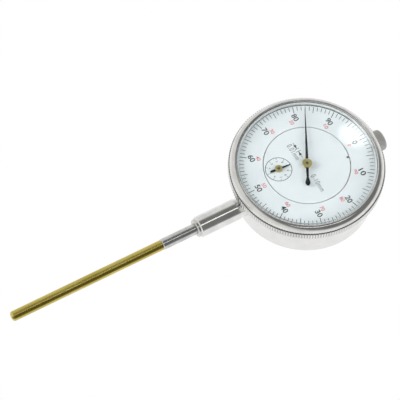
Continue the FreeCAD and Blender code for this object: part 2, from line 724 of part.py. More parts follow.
def make_extension_rod():
    end = "-spindle_end - rod_length"
    body = turned("extension_rod", "XY_Plane", [
        ("0", end),
        ("rod_radius", end),
        ("rod_radius", "-spindle_end"),
        ("rod_stud_radius", "-spindle_end"),
        ("rod_stud_radius", "rod_stud_length - spindle_end"),
        ("0", "rod_stud_length - spindle_end"),
    ], along_z="stem_level")
    centre = Vector(0, -size("spindle_end") - size("rod_length"), 0)
    edge = edges_where(body.Tip.Shape, lambda item: is_ring(item, size("rod_radius"), centre))
    dress(body, "Fillet", edge, "Radius", "rod_tip_round")
    return keep(body)


# Wheels, pinions and arbors

def cut_teeth(body, name, module, teeth, tip, low, width, lean):
    """Cut teeth round a disc of the pinion's or wheel's tip radius, with a gap on its own +X.

    A flank bends at the pitch circle. The two values of lean say how far it goes in per unit of
    height, below the pitch circle and above it.
    """
    pitch = f"({module} * {teeth} / 2)"
    root = f"({pitch} - {module} * root_depth)"
    outer = f"({pitch} + {module} * {tip})"
    half = f"((pi * {module} - backlash) / 4)"
    tip_half = f"({half} - {module} * {tip} * {lean[1]})"
    root_half = f"({half} + {module} * root_depth * {lean[0]})"

    def gap_half(radius, tooth_half):
        return f"({radius} * sin(180 / {teeth}) - {tooth_half} * cos(180 / {teeth}))"

    mouth = gap_half(outer, tip_half)
    middle = gap_half(pitch, half)
    floor = gap_half(root, root_half)
    gap = new_sketch(body, f"{name}_gap", "XY_Plane", low)
    outline(gap, [
        (f"{outer} + {module}", f"-{mouth}"),
        (outer, f"-{mouth}"),
        (pitch, f"-{middle}"),
        (root, f"-{floor}"),
        (root, floor),
        (pitch, middle),
        (outer, mouth),
        (f"{outer} + {module}", mouth),
    ])
    first = pocket(body, gap, width, reverse=True)
    polar(body, [first], teeth)


def make_toothed_arbor(name, steps, module, teeth, low, width, lean, place):
    """A pinion's rim cut first, and then the arbor that carries it."""
    body = new_body(name, *place)
    blank = new_sketch(body, f"{name}_blank", "XY_Plane", low)
    circles(blank, [("0", "0", f"{module} * ({teeth} / 2 + pinion_tip)")])
    pad(body, blank, width)
    cut_teeth(body, name, module, teeth, "pinion_tip", low, width, lean)
    sketch = new_sketch(body, f"{name}_profile", "XZ_Plane")
    outline(sketch, arbor_corners(steps))
    revolve(body, sketch)
    return keep(body)


def arbor_corners(steps):
    """Corners of a turned arbor. Steps are (radius, lower level, upper level) from the bottom up."""
    corners = [("0", steps[0][1])]
    for radius, low, high in steps:
        corners.append((radius, low))
        corners.append((radius, high))
    corners.append(("0", steps[-1][2]))
    return corners


def wheel(name, along_x, along_y, angle):
    body = new_body(name, along_x, along_y, "0", f"{angle} + 180 deg / gear_teeth")
    blank = new_sketch(body, f"{name}_blank", "XY_Plane", "gear_level")
    circles(blank, [
        ("0", "0", "gear_module * (gear_teeth / 2 + wheel_tip)"),
        ("0", "0", "gear_seat_radius"),
    ])
    pad(body, blank, "gear_thickness")
    window = new_sketch(body, f"{name}_window", "XY_Plane", "gear_level")
    circles(window, [("gear_window_circle", "0", "gear_window_radius")])
    first = pocket(body, window, "gear_thickness", reverse=True)
    polar(body, [first], "gear_windows")
    cut_teeth(body, name, "gear_module", "gear_teeth", "wheel_tip", "gear_level", "gear_thickness",
              ("tan(20)", "tan(22)"))
    return keep(body)


def make_rack_train():
    hub_top = "(small_hand_level + small_hand_thickness + small_hub_thickness)"
    cock_top = "(cock_arm_low + cock_arm_thickness)"
    place = ("-arbor_offset", f"-{ARBOR_ALONG}", "0", "180 deg / rack_teeth")
    make_toothed_arbor("rack_pinion", [
        ("pivot_radius", "cock_arm_low + 0.2", f"{cock_top} + pivot_shake"),
        ("arbor_radius", f"{cock_top} + pivot_shake", "gear_level - 0.2"),
        ("gear_seat_radius", "gear_level - 0.2", "gear_level + gear_thickness + 0.2"),
        ("arbor_radius", "gear_level + gear_thickness + 0.2", hub_top),
    ], RACK_MODULE, "rack_teeth", "rack_pinion_low", "rack_pinion_width", ("0.05", "0.52"), place)
    wheel("rack_gear", "-arbor_offset", f"-{ARBOR_ALONG}", ARBOR_TURN)


def make_centre_pinion():
    hub_top = "(main_hand_level + main_hand_thickness + main_hub_thickness)"
    make_toothed_arbor("centre_pinion", [
        ("pivot_radius", "plate_level + 0.2", "plate_top + pivot_shake"),
        ("arbor_radius", "plate_top + pivot_shake", hub_top),
    ], "gear_module", "centre_teeth", "centre_pinion_low", "centre_pinion_width", ("-0.3", "0.6"),
        ("0", "0", "0", ARBOR_TURN))


def make_take_up_train():
    top = "gear_level + gear_thickness + 0.2"
    collet_top = "hairspring_level + hairspring_width + 0.05"
    keep(turned("take_up_arbor", "XZ_Plane", arbor_corners([
        ("pivot_radius", "plate_level + 0.2", "plate_top + pivot_shake"),
        ("arbor_radius", "plate_top + pivot_shake", "gear_level - 0.2"),
        ("gear_seat_radius", "gear_level - 0.2", top),
        ("hairspring_inner - hairspring_strip", top, collet_top),
        ("arbor_radius", collet_top, "upper_low - pivot_shake"),
        ("pivot_radius", "upper_low - pivot_shake", "upper_top - 0.1"),
    ]), "arbor_offset", ARBOR_ALONG))
    wheel("take_up_gear", "arbor_offset", ARBOR_ALONG, f"{ARBOR_TURN} + 180 deg")


def arbor_distance():
    middle = size("gear_module") * (size("gear_teeth") + size("centre_teeth")) / 2
    return math.sqrt(middle ** 2 - size("arbor_offset") ** 2)


def make_hairspring():
    """A flat spiral strip from the collet to the stud."""
    inner = size("hairspring_inner")
    outer = size("hairspring_outer")
    strip = size("hairspring_strip")
    turns = size("hairspring_turns")
    steps = int(turns * 24)

    def spiral(offset):
        points = []
        for index in range(steps + 1):
            share = index / steps
            radius = inner + (outer - inner) * share + offset
            angle = 2 * math.pi * turns * share
            points.append(Vector(radius * math.cos(angle), radius * math.sin(angle), 0))
        return points

    edge = spiral(-strip / 2) + spiral(strip / 2)[::-1]
    item = shape_of("hairspring", flat_face(edge).extrude(Vector(0, 0, size("hairspring_width"))))
    place = Vector(size("arbor_offset"), arbor_distance(), size("hairspring_level"))
    item.Placement = Placement(place, Rotation())
    keep(item)

    stud = document.addObject("Part::Cylinder", "hairspring_stud")
    stud.Label = "hairspring_stud"
    bind(stud, "Radius", "hairspring_stud_radius")
    bind(stud, "Height", "upper_top - hairspring_level")
    shift(stud, "arbor_offset + hairspring_outer + hairspring_strip / 2 + hairspring_stud_radius",
          ARBOR_ALONG, "hairspring_level")
    keep(stud)


# Plates

def make_lower_plate():
    body = new_body("lower_plate", along_z="plate_level")
    disc = new_sketch(body, "plate_disc")
    circles(disc, [("0", "0", "plate_radius")])
    pad(body, disc, "plate_thickness")
    bores = new_sketch(body, "plate_bores")
    rounds = [
        ("0", "0", "pivot_radius + pivot_fit"),
        ("-arbor_offset", f"-{ARBOR_ALONG}", "arbor_radius + pivot_fit"),
        ("arbor_offset", ARBOR_ALONG, "pivot_radius + pivot_fit"),
        ("spring_across", "-spring_post_along", "spring_post_radius"),
    ]
    for across, along, level in around(4, "boss_circle", "boss_turn", "0"):
        rounds.append((across, along, "screw_radius"))
    for across, along, level in pillar_places("0"):
        rounds.append((across, along, "pillar_tenon_radius"))
    for across, along in cock_screw_places() + rail_screw_places():
        rounds.append((across, along, "screw_radius"))
    circles(bores, rounds)
    pocket(body, bores, "plate_thickness + 1", reverse=True)
    notch = new_sketch(body, "plate_notch")
    start = "upper_bush_start - notch_clearance"
    outline(notch, [
        ("-notch_half_width", start),
        ("notch_half_width", start),
        ("notch_half_width", "plate_radius + 1"),
        ("-notch_half_width", "plate_radius + 1"),
    ])
    pocket(body, notch, "plate_thickness + 1", reverse=True)
    return keep(body)


def make_upper_plate():
    body = new_body("upper_plate", along_z="upper_low")
    disc = new_sketch(body, "upper_disc")
    circles(disc, [("0", "0", "upper_plate_radius")])
    pad(body, disc, "upper_plate_thickness")
    bores = new_sketch(body, "upper_bores")
    stud = "arbor_offset + hairspring_outer + hairspring_strip / 2 + hairspring_stud_radius"
    rounds = [
        ("0", "0", "arbor_radius + pivot_fit"),
        ("-arbor_offset", f"-{ARBOR_ALONG}", "arbor_radius + pivot_fit"),
        ("arbor_offset", ARBOR_ALONG, "pivot_radius + pivot_fit"),
        (stud, ARBOR_ALONG, "hairspring_stud_radius"),
    ]
    for across, along, level in pillar_places("0"):
        rounds.append((across, along, "small_screw_radius"))
    circles(bores, rounds)
    pocket(body, bores, "upper_plate_thickness + 1", reverse=True)
    return keep(body)


def make_pillars():
    members = []
    for index, (across, along, level) in enumerate(pillar_places("plate_top"), start=1):
        rod = document.addObject("Part::Cylinder", f"pillar_rod_{index}")
        bind(rod, "Radius", "pillar_radius")
        bind(rod, "Height", "plate_gap")
        shift(rod, across, along, level)
        tenon = document.addObject("Part::Cylinder", f"pillar_tenon_{index}")
        bind(tenon, "Radius", "pillar_tenon_radius")
        bind(tenon, "Height", "plate_thickness")
        shift(tenon, across, along, "plate_level")
        thread = document.addObject("Part::Cylinder", f"pillar_thread_{index}")
        bind(thread, "Radius", "small_screw_radius")
        bind(thread, "Height", "small_screw_length")
        shift(thread, across, along, "upper_top - small_screw_length")
        blank = document.addObject("Part::Fuse", f"pillar_blank_{index}")
        blank.Base = rod
        blank.Tool = tenon
        pillar = document.addObject("Part::Cut", f"pillar_{index}")
        pillar.Base = blank
        pillar.Tool = thread
        members.append(pillar)
    keep(group("plate_pillars", members))
    screw("pillar_screws", pillar_places("upper_top"), "small_screw_head_radius", "small_screw_head_height",
          "small_screw_radius", "small_screw_length")
    screw("movement_screws", around(4, "boss_circle", "boss_turn", "plate_top"), "screw_head_radius",
          "screw_head_height", "screw_radius", "plate_screw_length")


# Cock under the rack pinion

def cock_screw_places():
    across = "-(arbor_offset + cock_foot_start + cock_foot_length / 2)"
    return [(across, f"cock_screw_half_space - {ARBOR_ALONG}"),
            (across, f"-cock_screw_half_space - {ARBOR_ALONG}")]


def make_cock():
    body = new_body("pinion_cock", "-arbor_offset", f"-{ARBOR_ALONG}", "cock_arm_low")
    arm = new_sketch(body, "cock_arm")
    foot_end = "-cock_foot_start - cock_foot_length"
    outline(arm, [
        (foot_end, "-cock_foot_half_width"),
        ("-cock_foot_start", "-cock_foot_half_width"),
        ("-cock_foot_start", "-cock_arm_half_width"),
        ("cock_arm_half_width", "-cock_arm_half_width"),
        ("cock_arm_half_width", "cock_arm_half_width"),
        ("-cock_foot_start", "cock_arm_half_width"),
        ("-cock_foot_start", "cock_foot_half_width"),
        (foot_end, "cock_foot_half_width"),
    ])
    pad(body, arm, "cock_arm_thickness")
    foot = new_sketch(body, "cock_foot")
    outline(foot, [
        (foot_end, "-cock_foot_half_width"),
        ("-cock_foot_start", "-cock_foot_half_width"),
        ("-cock_foot_start", "cock_foot_half_width"),
        (foot_end, "cock_foot_half_width"),
    ])
    pad(body, foot, "plate_level - cock_arm_low")

    def is_arm_corner(edge):
        if not isinstance(edge.Curve, Part.Line) or abs(edge.Length - size("cock_arm_thickness")) > 1e-4:
            return False
        return abs(edge.CenterOfMass.x - size("cock_arm_half_width")) < 1e-4

    edges = edges_where(body.Tip.Shape, is_arm_corner)
    dress(body, "Fillet", edges, "Radius", "cock_arm_half_width * 0.8")
    bores = new_sketch(body, "cock_bores")
    screw_across = "-cock_foot_start - cock_foot_length / 2"
    circles(bores, [
        ("0", "0", "pivot_radius + pivot_fit"),
        (screw_across, "cock_screw_half_space", "screw_radius"),
        (screw_across, "-cock_screw_half_space", "screw_radius"),
    ])
    pocket(body, bores, "plate_level", reverse=True)
    keep(body)
    places = [(across, along, "cock_arm_low") for across, along in cock_screw_places()]
    screw("cock_screws", places, "screw_head_radius", "screw_head_height", "screw_radius",
          "plate_level + plate_thickness - cock_arm_low", upward=False)


# Guide rail and return spring

def rail_screw_places():
    across = "guide_rail_inner + guide_rail_flange - screw_head_radius"
    middle = "guide_pin_along + travel / 2"
    return [(across, f"{middle} - travel / 2"), (across, f"{middle} + travel / 2")]


def make_guide_rail():
    body = new_body("guide_rail")
    reach = "(guide_pin_radius + guide_slot_over_travel)"
    low = f"guide_pin_along - {reach} - guide_rail_margin"
    high = f"guide_pin_along + travel + {reach} + guide_rail_margin"
    sketch = new_sketch(body, "rail_section", "XZ_Plane", f"-({high})")
    inner = "guide_rail_inner"
    outer = "guide_rail_inner + guide_rail_thickness"
    flange = "guide_rail_inner + guide_rail_flange"
    outline(sketch, [
        (inner, "guide_rail_low"),
        (outer, "guide_rail_low"),
        (outer, "plate_level - guide_rail_thickness"),
        (flange, "plate_level - guide_rail_thickness"),
        (flange, "plate_level"),
        (inner, "plate_level"),
    ])
    pad(body, sketch, f"({high}) - ({low})")
    slot = new_sketch(body, "rail_slot", "YZ_Plane", inner)
    half = "(guide_pin_radius + guide_slot_clearance)"
    outline(slot, [
        (f"guide_pin_along - {reach}", f"stem_level - {half}"),
        (f"guide_pin_along + travel + {reach}", f"stem_level - {half}"),
        (f"guide_pin_along + travel + {reach}", f"stem_level + {half}"),
        (f"guide_pin_along - {reach}", f"stem_level + {half}"),
    ])
    pocket(body, slot, "guide_rail_thickness + 0.5", reverse=True)
    bores = new_sketch(body, "rail_bores", "XY_Plane", "plate_level - guide_rail_thickness")
    circles(bores, [(across, along, "screw_radius") for across, along in rail_screw_places()])
    pocket(body, bores, "guide_rail_thickness + 1", reverse=True)
    keep(body)
    places = [(across, along, "plate_level - guide_rail_thickness") for across, along in rail_screw_places()]
    screw("rail_screws", places, "screw_head_radius", "screw_head_height", "screw_radius",
          "guide_rail_thickness + plate_thickness", upward=False)


def bent_wire(points, radius, sides=6):
    """A wire of this radius along a path, with one ring of corners at each point of the path."""
    heading = (points[1] - points[0]).normalize()
    across = heading.cross(Vector(0, 0, 1)).normalize()
    rings = []
    for index, point in enumerate(points):
        behind = points[max(index - 1, 0)]
        ahead = points[min(index + 1, len(points) - 1)]
        heading = (ahead - behind).normalize()
        across = (across - heading * across.dot(heading)).normalize()
        upward = heading.cross(across)
        ring = []
        for corner in range(sides):
            angle = 2 * math.pi * corner / sides
            ring.append(point + across * (radius * math.cos(angle)) + upward * (radius * math.sin(angle)))
        rings.append(ring)
    faces = [flat_face(rings[0]), flat_face(rings[-1])]
    for near, far in zip(rings, rings[1:]):
        for corner in range(sides):
            following = (corner + 1) % sides
            faces.append(flat_face([near[corner], near[following], far[following]]))
            faces.append(flat_face([near[corner], far[following], far[corner]]))
    solid = Part.Solid(Part.Shell(faces))
    if solid.Volume < 0:
        solid.reverse()
    return solid


def flat_face(corners):
    return Part.Face(Part.makePolygon(corners + [corners[0]]))


def make_return_spring():
    post = document.addObject("Part::Cylinder", "spring_post")
    post.Label = "spring_post"
    bind(post, "Radius", "spring_post_radius")
    bind(post, "Height", "plate_top - spring_post_low")
    shift(post, "spring_across", "-spring_post_along", "spring_post_low")
    keep(post)

    wire = size("spring_wire_radius")
    coil = size("spring_coil_radius")
    gap = size("spring_eye_gap")
    post_eye = size("spring_post_radius") + gap + wire
    pin_eye = size("guide_pin_radius") + gap + wire
    post = -size("spring_post_along")
    pin = size("guide_pin_along")
    start = post + post_eye
    end = pin - pin_eye
    blend = math.radians(25)
    eye_steps = 14
    eye_step = math.radians(20)
    points = []
    for index in range(eye_steps, -1, -1):
        angle = math.pi / 2 + eye_step * index
        points.append(Vector(post_eye * math.cos(angle), post + post_eye * math.sin(angle), 0))
    points.append(Vector(coil * 0.38, start, 0))
    points.append(Vector(coil * 0.72, start + wire * 0.2, wire * 0.6))
    turns = size("spring_turns")
    coil_steps = int(turns * 12)
    sweep = 2 * math.pi * (turns - 0.25) - 2 * blend
    low = start + wire / 2
    high = end - wire / 2
    for index in range(coil_steps + 1):
        share = index / coil_steps
        angle = blend + sweep * share
        points.append(Vector(coil * math.cos(angle), low + (high - low) * share, coil * math.sin(angle)))
    points.append(Vector(-wire * 0.6, end - wire * 0.2, -coil * 0.72))
    points.append(Vector(0, end, -coil * 0.38))
    for index in range(eye_steps + 1):
        angle = math.pi - eye_step * index
        points.append(Vector(0, pin + pin_eye * math.cos(angle), pin_eye * math.sin(angle)))
    item = shape_of("return_spring", bent_wire(points, wire))
    item.Placement = Placement(Vector(size("spring_across"), 0, size("stem_level")), Rotation())
    keep(item)


# Dial and hands

def make_inner_dial():
    body = new_body("inner_dial")
    disc = new_sketch(body, "dial_disc", "XY_Plane", "dial_level - dial_thickness")
    circles(disc, [("0", "0", "inner_dial_radius")])
    pad(body, disc, "dial_thickness")
    feet = new_sketch(body, "dial_feet", "XY_Plane", "upper_top")
    circles(feet, [
        ("dial_foot_across", "0", "dial_foot_radius"),
        ("-dial_foot_across", "0", "dial_foot_radius"),
    ])
    pad(body, feet, "dial_level - dial_thickness - upper_top")
    bores = new_sketch(body, "dial_bores", "XY_Plane", "dial_level")
    circles(bores, [
        ("0", "0", "main_hand_hole"),
        ("-arbor_offset", f"-{ARBOR_ALONG}", "small_hand_hole"),
    ])
    pocket(body, bores, "dial_thickness + 0.1")
    return keep(body)


def hand(name, corners, hole, level, thickness, angle, along_x="0", along_y="0"):
    """A flat hand that points along its own +X, with a hole for its hub."""
    body = new_body(name, along_x, along_y, level, angle)
    blade = new_sketch(body, f"{name}_blade")
    outline(blade, corners)
    pad(body, blade, thickness)
    eye = new_sketch(body, f"{name}_eye")
    circles(eye, [("0", "0", f"{hole} * 1.35")])
    pad(body, eye, thickness)
    bore = new_sketch(body, f"{name}_bore")
    circles(bore, [("0", "0", hole)])
    pocket(body, bore, f"{thickness} + 1", reverse=True)
    return keep(body)


def hub(name, radius, boss, level, thickness, flange, shaft, along_x="0", along_y="0"):
    """A hub whose boss holds the hand under its flange, bored for the arbor."""
    return keep(turned(name, "XZ_Plane", [
        (shaft, f"{level} - 0.1"),
        (boss, f"{level} - 0.1"),
        (boss, f"{level} + {thickness}"),
        (radius, f"{level} + {thickness}"),
        (radius, f"{level} + {thickness} + {flange}"),
        (shaft, f"{level} + {thickness} + {flange}"),
    ], along_x, along_y))


def make_hands():
    hand("main_hand", [
        ("-main_hand_tail", "0"),
        ("0.6 - main_hand_tail", "-0.75"),
        ("1.3 - main_hand_tail", "-0.95"),
        ("3.6 - main_hand_tail", "-0.42"),
        ("0", "-0.55"),
        ("main_hand_tip * 0.55", "-0.3"),
        ("main_hand_tip - 0.2", "-0.11"),
        ("main_hand_tip", "0"),
        ("main_hand_tip - 0.2", "0.11"),
        ("main_hand_tip * 0.55", "0.3"),
        ("0", "0.55"),
        ("3.6 - main_hand_tail", "0.42"),
        ("1.3 - main_hand_tail", "0.95"),
        ("0.6 - main_hand_tail", "0.75"),
    ], "main_hub_boss", "main_hand_level", "main_hand_thickness", "main_hand_turn")
    hub("main_hand_hub", "main_hub_radius", "main_hub_boss", "main_hand_level", "main_hand_thickness",
        "main_hub_thickness", "arbor_radius")
    hand("small_hand", [
        ("-small_hand_tail", "-0.3"),
        ("0.9 - small_hand_tail", "-0.5"),
        ("0", "-0.38"),
        ("small_hand_tip - 0.3", "-0.2"),
        ("small_hand_tip", "0"),
        ("small_hand_tip - 0.3", "0.2"),
        ("0", "0.38"),
        ("0.9 - small_hand_tail", "0.5"),
        ("-small_hand_tail", "0.3"),
    ], "small_hub_boss", "small_hand_level", "small_hand_thickness", "small_hand_turn",
        "-arbor_offset", f"-{ARBOR_ALONG}")
    hub("small_hand_hub", "small_hub_radius", "small_hub_boss", "small_hand_level", "small_hand_thickness",
        "small_hub_thickness", "arbor_radius", "-arbor_offset", f"-{ARBOR_ALONG}")


# Bezel

def make_bezel():
    band = "(bezel_radius - band_step)"
    groove = "(bezel_bore + wire_hold)"
    body = turned("bezel", "XZ_Plane", [
        ("bezel_bore", "bezel_low"),
        ("bezel_radius", "bezel_low"),
        ("bezel_radius", "band_top"),
        (band, "band_top + band_step"),
        (band, "bezel_top"),
        ("lip_radius + lip_slope_width", "bezel_top"),
        ("lip_radius", "bezel_top - lip_slope_drop"),
        ("lip_radius", "lip_low"),
        ("bezel_bore", "lip_low"),
        ("bezel_bore", "wire_level + wire_groove_half_width"),
        (groove, "wire_level + wire_groove_half_width"),
        (groove, "wire_level - wire_groove_half_width"),
        ("bezel_bore", "wire_level - wire_groove_half_width"),
    ])
    centre = Vector(0, 0, size("bezel_top"))
    shoulder = size("bezel_radius") - size("band_step")
    crest = size("lip_radius") + size("lip_slope_width")
    for radius, amount in ((shoulder, "bezel_round"), (crest, "crest_round")):
        edge = edges_where(body.Tip.Shape, lambda item: is_ring(item, radius, centre))
        dress(body, "Fillet", edge, "Radius", amount)
    notch = new_sketch(body, "knurl_notch", "XY_Plane", "bezel_low - 0.5")
    outline(notch, [
        ("bezel_radius - knurl_depth", "0"),
        ("bezel_radius + 0.2", "-knurl_half_width * (knurl_depth + 0.2) / knurl_depth"),
        ("bezel_radius + 0.2", "knurl_half_width * (knurl_depth + 0.2) / knurl_depth"),
    ])
    first = pocket(body, notch, "band_top - bezel_low + 1.5", reverse=True)
    polar(body, [first], "knurl_notches")
    return keep(body)


def make_bezel_wire():
    middle = "bezel_bore + wire_hold - wire_radius"
    corners = []
    for turn_share in range(8):
        angle = f"({turn_share} * 45 + 22.5)"
        corners.append((f"{middle} + wire_radius * cos({angle})", f"wire_radius * sin({angle})"))
    return keep(turned("bezel_wire", "XZ_Plane", corners, along_z="wire_level"))


def make_dial_ring():
    body = new_body("dial_ring")
    face = new_sketch(body, "ring_face", "XY_Plane", "dial_level - dial_thickness")
    circles(face, [("0", "0", "bezel_bore"), ("0", "0", "inner_dial_radius + dial_gap")])
    pad(body, face, "dial_thickness")
    return keep(body)


def make_retaining_ring():
    outer = document.addObject("Part::Cylinder", "ring_outer")
    bind(outer, "Radius", "bezel_bore")
    inner = document.addObject("Part::Cylinder", "ring_inner")
    bind(inner, "Radius", "bezel_bore - ring_thickness")
    for item in (outer, inner):
        bind(item, "Height", "crystal_low - dial_level")
        shift(item, along_z="dial_level")
    split = document.addObject("Part::Box", "ring_split")
    bind(split, "Length", "case_radius * 2")
    bind(split, "Width", "ring_gap_half_width * 2")
    bind(split, "Height", "crystal_low - dial_level")
    turn(split, "ring_gap_turn")
    shift(split, "ring_gap_half_width * sin(ring_gap_turn)", "-ring_gap_half_width * cos(ring_gap_turn)",
          "dial_level")
    tools = document.addObject("Part::Fuse", "ring_tools")
    tools.Base = inner
    tools.Tool = split
    ring = document.addObject("Part::Cut", "retaining_ring")
    ring.Label = "retaining_ring"
    ring.Base = outer
    ring.Tool = tools
    return keep(ring)


def make_crystal():
    """A domed window: a flat rim under the bezel's lip, a short wall and a shallow dome."""
    rim = size("bezel_bore") - size("crystal_fit")
    low = size("crystal_low")
    step = size("lip_low")
    outer = size("lip_radius") - size("crystal_step")
    inner = outer - size("crystal_wall")
    edge = size("crystal_edge_level")
    top = size("crystal_top")
    wall = size("crystal_wall")

    def arc(radius, edge_level, top_level):
        rise = top_level - edge_level
        dome = (radius ** 2 + rise ** 2) / (2 * rise)
        half = radius / 2
        level = top_level - dome + math.sqrt(dome ** 2 - half ** 2)
        middle = Vector(half, 0, level)
        return Part.Arc(Vector(radius, 0, edge_level), middle, Vector(0, 0, top_level)).toShape()

    corners = [(inner, edge - wall), (inner, low), (rim, low), (rim, step), (outer, step), (outer, edge)]
    points = [Vector(radius, 0, level) for radius, level in corners]
    edges = [Part.LineSegment(start, end).toShape() for start, end in zip(points, points[1:])]
    edges.append(arc(outer, edge, top))
    edges.append(Part.LineSegment(Vector(0, 0, top), Vector(0, 0, top - wall)).toShape())
    edges.append(arc(inner, edge - wall, top - wall))
    face = Part.Face(Part.Wire(Part.__sortEdges__(edges)))
    return keep(shape_of("crystal", face.revolve(Vector(0, 0, 0), Vector(0, 0, 1), 360)))


def check():
    document.recompute()
    for item in document.Objects:
        if "Invalid" in item.State or "Error" in item.State:
            raise RuntimeError(f"{item.Name} failed: {item.State}")
    for item in PARTS:
        if item.Shape.isNull() or not item.Shape.isValid() or not item.Shape.Solids:
            raise RuntimeError(f"{item.Label} has no valid solid")


def export():
    os.makedirs("parts", exist_ok=True)
    for item in PARTS:
        item.Shape.exportStep(f"parts/{item.Label}.step")


make_case()
make_back_cover()
make_stem()
make_stem_bush()
make_upper_bush()
make_top_cap()
make_spindle()
make_guide_pin()
make_extension_rod()
make_rack_train()
make_centre_pinion()
make_take_up_train()
make_hairspring()
make_lower_plate()
make_upper_plate()
make_pillars()
make_cock()
make_guide_rail()
make_return_spring()
make_inner_dial()
make_hands()
make_bezel()
make_bezel_wire()
make_dial_ring()
make_retaining_ring()
make_crystal()
check()
export()
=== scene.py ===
import math

import bmesh
import bpy
from mathutils import Matrix, Quaternion, Vector


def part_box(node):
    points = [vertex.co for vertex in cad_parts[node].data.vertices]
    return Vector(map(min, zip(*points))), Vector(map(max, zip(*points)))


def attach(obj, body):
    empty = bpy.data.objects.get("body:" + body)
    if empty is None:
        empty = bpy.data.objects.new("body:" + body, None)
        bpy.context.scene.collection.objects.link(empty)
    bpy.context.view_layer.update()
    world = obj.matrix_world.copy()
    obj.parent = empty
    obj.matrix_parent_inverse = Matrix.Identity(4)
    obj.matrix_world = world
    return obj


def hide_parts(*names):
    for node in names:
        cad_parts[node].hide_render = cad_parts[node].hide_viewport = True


# Looks of a dial gauge that lies on its flat back.
# Lengths are metres unless a comment says otherwise.
# +Z runs along the dial's axis and the stem points along -Y.

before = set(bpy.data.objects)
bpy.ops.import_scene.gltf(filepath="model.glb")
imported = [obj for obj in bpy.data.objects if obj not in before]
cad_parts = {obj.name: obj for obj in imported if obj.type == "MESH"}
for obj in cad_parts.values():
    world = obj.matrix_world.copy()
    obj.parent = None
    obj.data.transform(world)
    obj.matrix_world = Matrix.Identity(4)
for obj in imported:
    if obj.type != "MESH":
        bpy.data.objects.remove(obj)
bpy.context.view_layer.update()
MM = 0.001

# Camera, well above the gauge and on its stem's side
CAMERA_PLACE = Vector((0.50372, -0.390242, 1.134163))
CAMERA_AIM = Vector((-0.39954, 0.273124, -0.875083))
CAMERA_ROLL = math.radians(5.325)
CAMERA_LENS = 315.0
CAMERA_REACH = 20.0
SENSOR_WIDTH = 36.0

# Surroundings that the polished metal shows: a dark part about an axis, a strip light and a small lamp
ROOM_AXIS = (0.43, 0.29, 0.855)
ROOM_LIGHT = 0.85
ROOM_DARK = 0.20
ROOM_EDGE = (0.34, 0.74)
ROOM_COLOUR = (1.0, 1.0, 0.985, 1.0)
STRIP_SIDE = (-0.9455, 0.0, 0.3256)
STRIP_LEVEL = 1.5
LAMP_AIM = (-0.403, 0.464, 0.789)
LAMP_CORE = math.cos(math.radians(0.2))
LAMP_EDGE = math.cos(math.radians(3.3))
LAMP_LEVEL = 4.2

# Floor under the gauge
FLOOR_HALF = 4.0
FLOOR_DROP = 0.0002
FLOOR_GREY = (0.86, 0.86, 0.86, 1.0)
WHITE = (1.0, 1.0, 1.0, 1.0)

# Height of the rod's middle line above the back, in millimetres
ROD_HEIGHT = 9.88

# Bezel, in millimetres
BEZEL_BORE = 26.1
BEZEL_RADIUS = 29.0
BEZEL_TOP = 20.0
LIP_RADIUS = 25.7
LIP_LOW = 18.55
CREST_RADIUS = 26.4
SHOULDER_RADIUS = 28.58
GROOVE_RADIUS = 28.52
GROOVE_EDGE = 28.86
NOTCHES = 180
NOTCH_RADIUS = 28.64
NOTCH_HALF_WIDTH = 0.33
BAND_LOW = 14.2
BAND_TOP = 17.4
WIRE_GROOVE_RADIUS = 26.46
WIRE_GROOVE_LOW = 15.1
WIRE_GROOVE_TOP = 16.1
BEZEL_SHARP_ANGLE = math.radians(28)

# Dial print, in millimetres and, for DIAL_TURN, degrees
PRINT_LIFT = 0.012
PRINT_THICKNESS = 0.012
DIAL_TURN = -0.2
DIVISIONS = 100
TICK_OUTER = 24.9
TICK_SHORT = 23.2
TICK_LONG = 22.3
TICK_WIDTH = 0.2
TICK_BOLD = 0.26
NUMBER_CIRCLE = 20.5
NUMBER_HEIGHT = 2.1
NUMBER_WIDTH = 2.9
ZERO_WIDTH = 1.3
REVERSE_HEIGHT = 1.45
REVERSE_WIDTH = 1.95
REVERSE_ZERO_WIDTH = 0.85
REVERSE_INWARD = (1.2, 2.15)
REVERSE_BELOW = 2.35
COUNTER_CENTRE = Vector((-3.4, -10.056))
COUNTER_RADIUS = 5.0
COUNTER_LINE = 0.22
COUNTER_TICK = 1.0
COUNTER_TICK_WIDTH = 0.14
COUNTER_DIGIT_CIRCLE = 3.35
COUNTER_DIGIT_HEIGHT = 0.85
ARROW_PLACE = (-7.1, 0.2)
ZERO_DOT_RADIUS = 0.42


# Materials

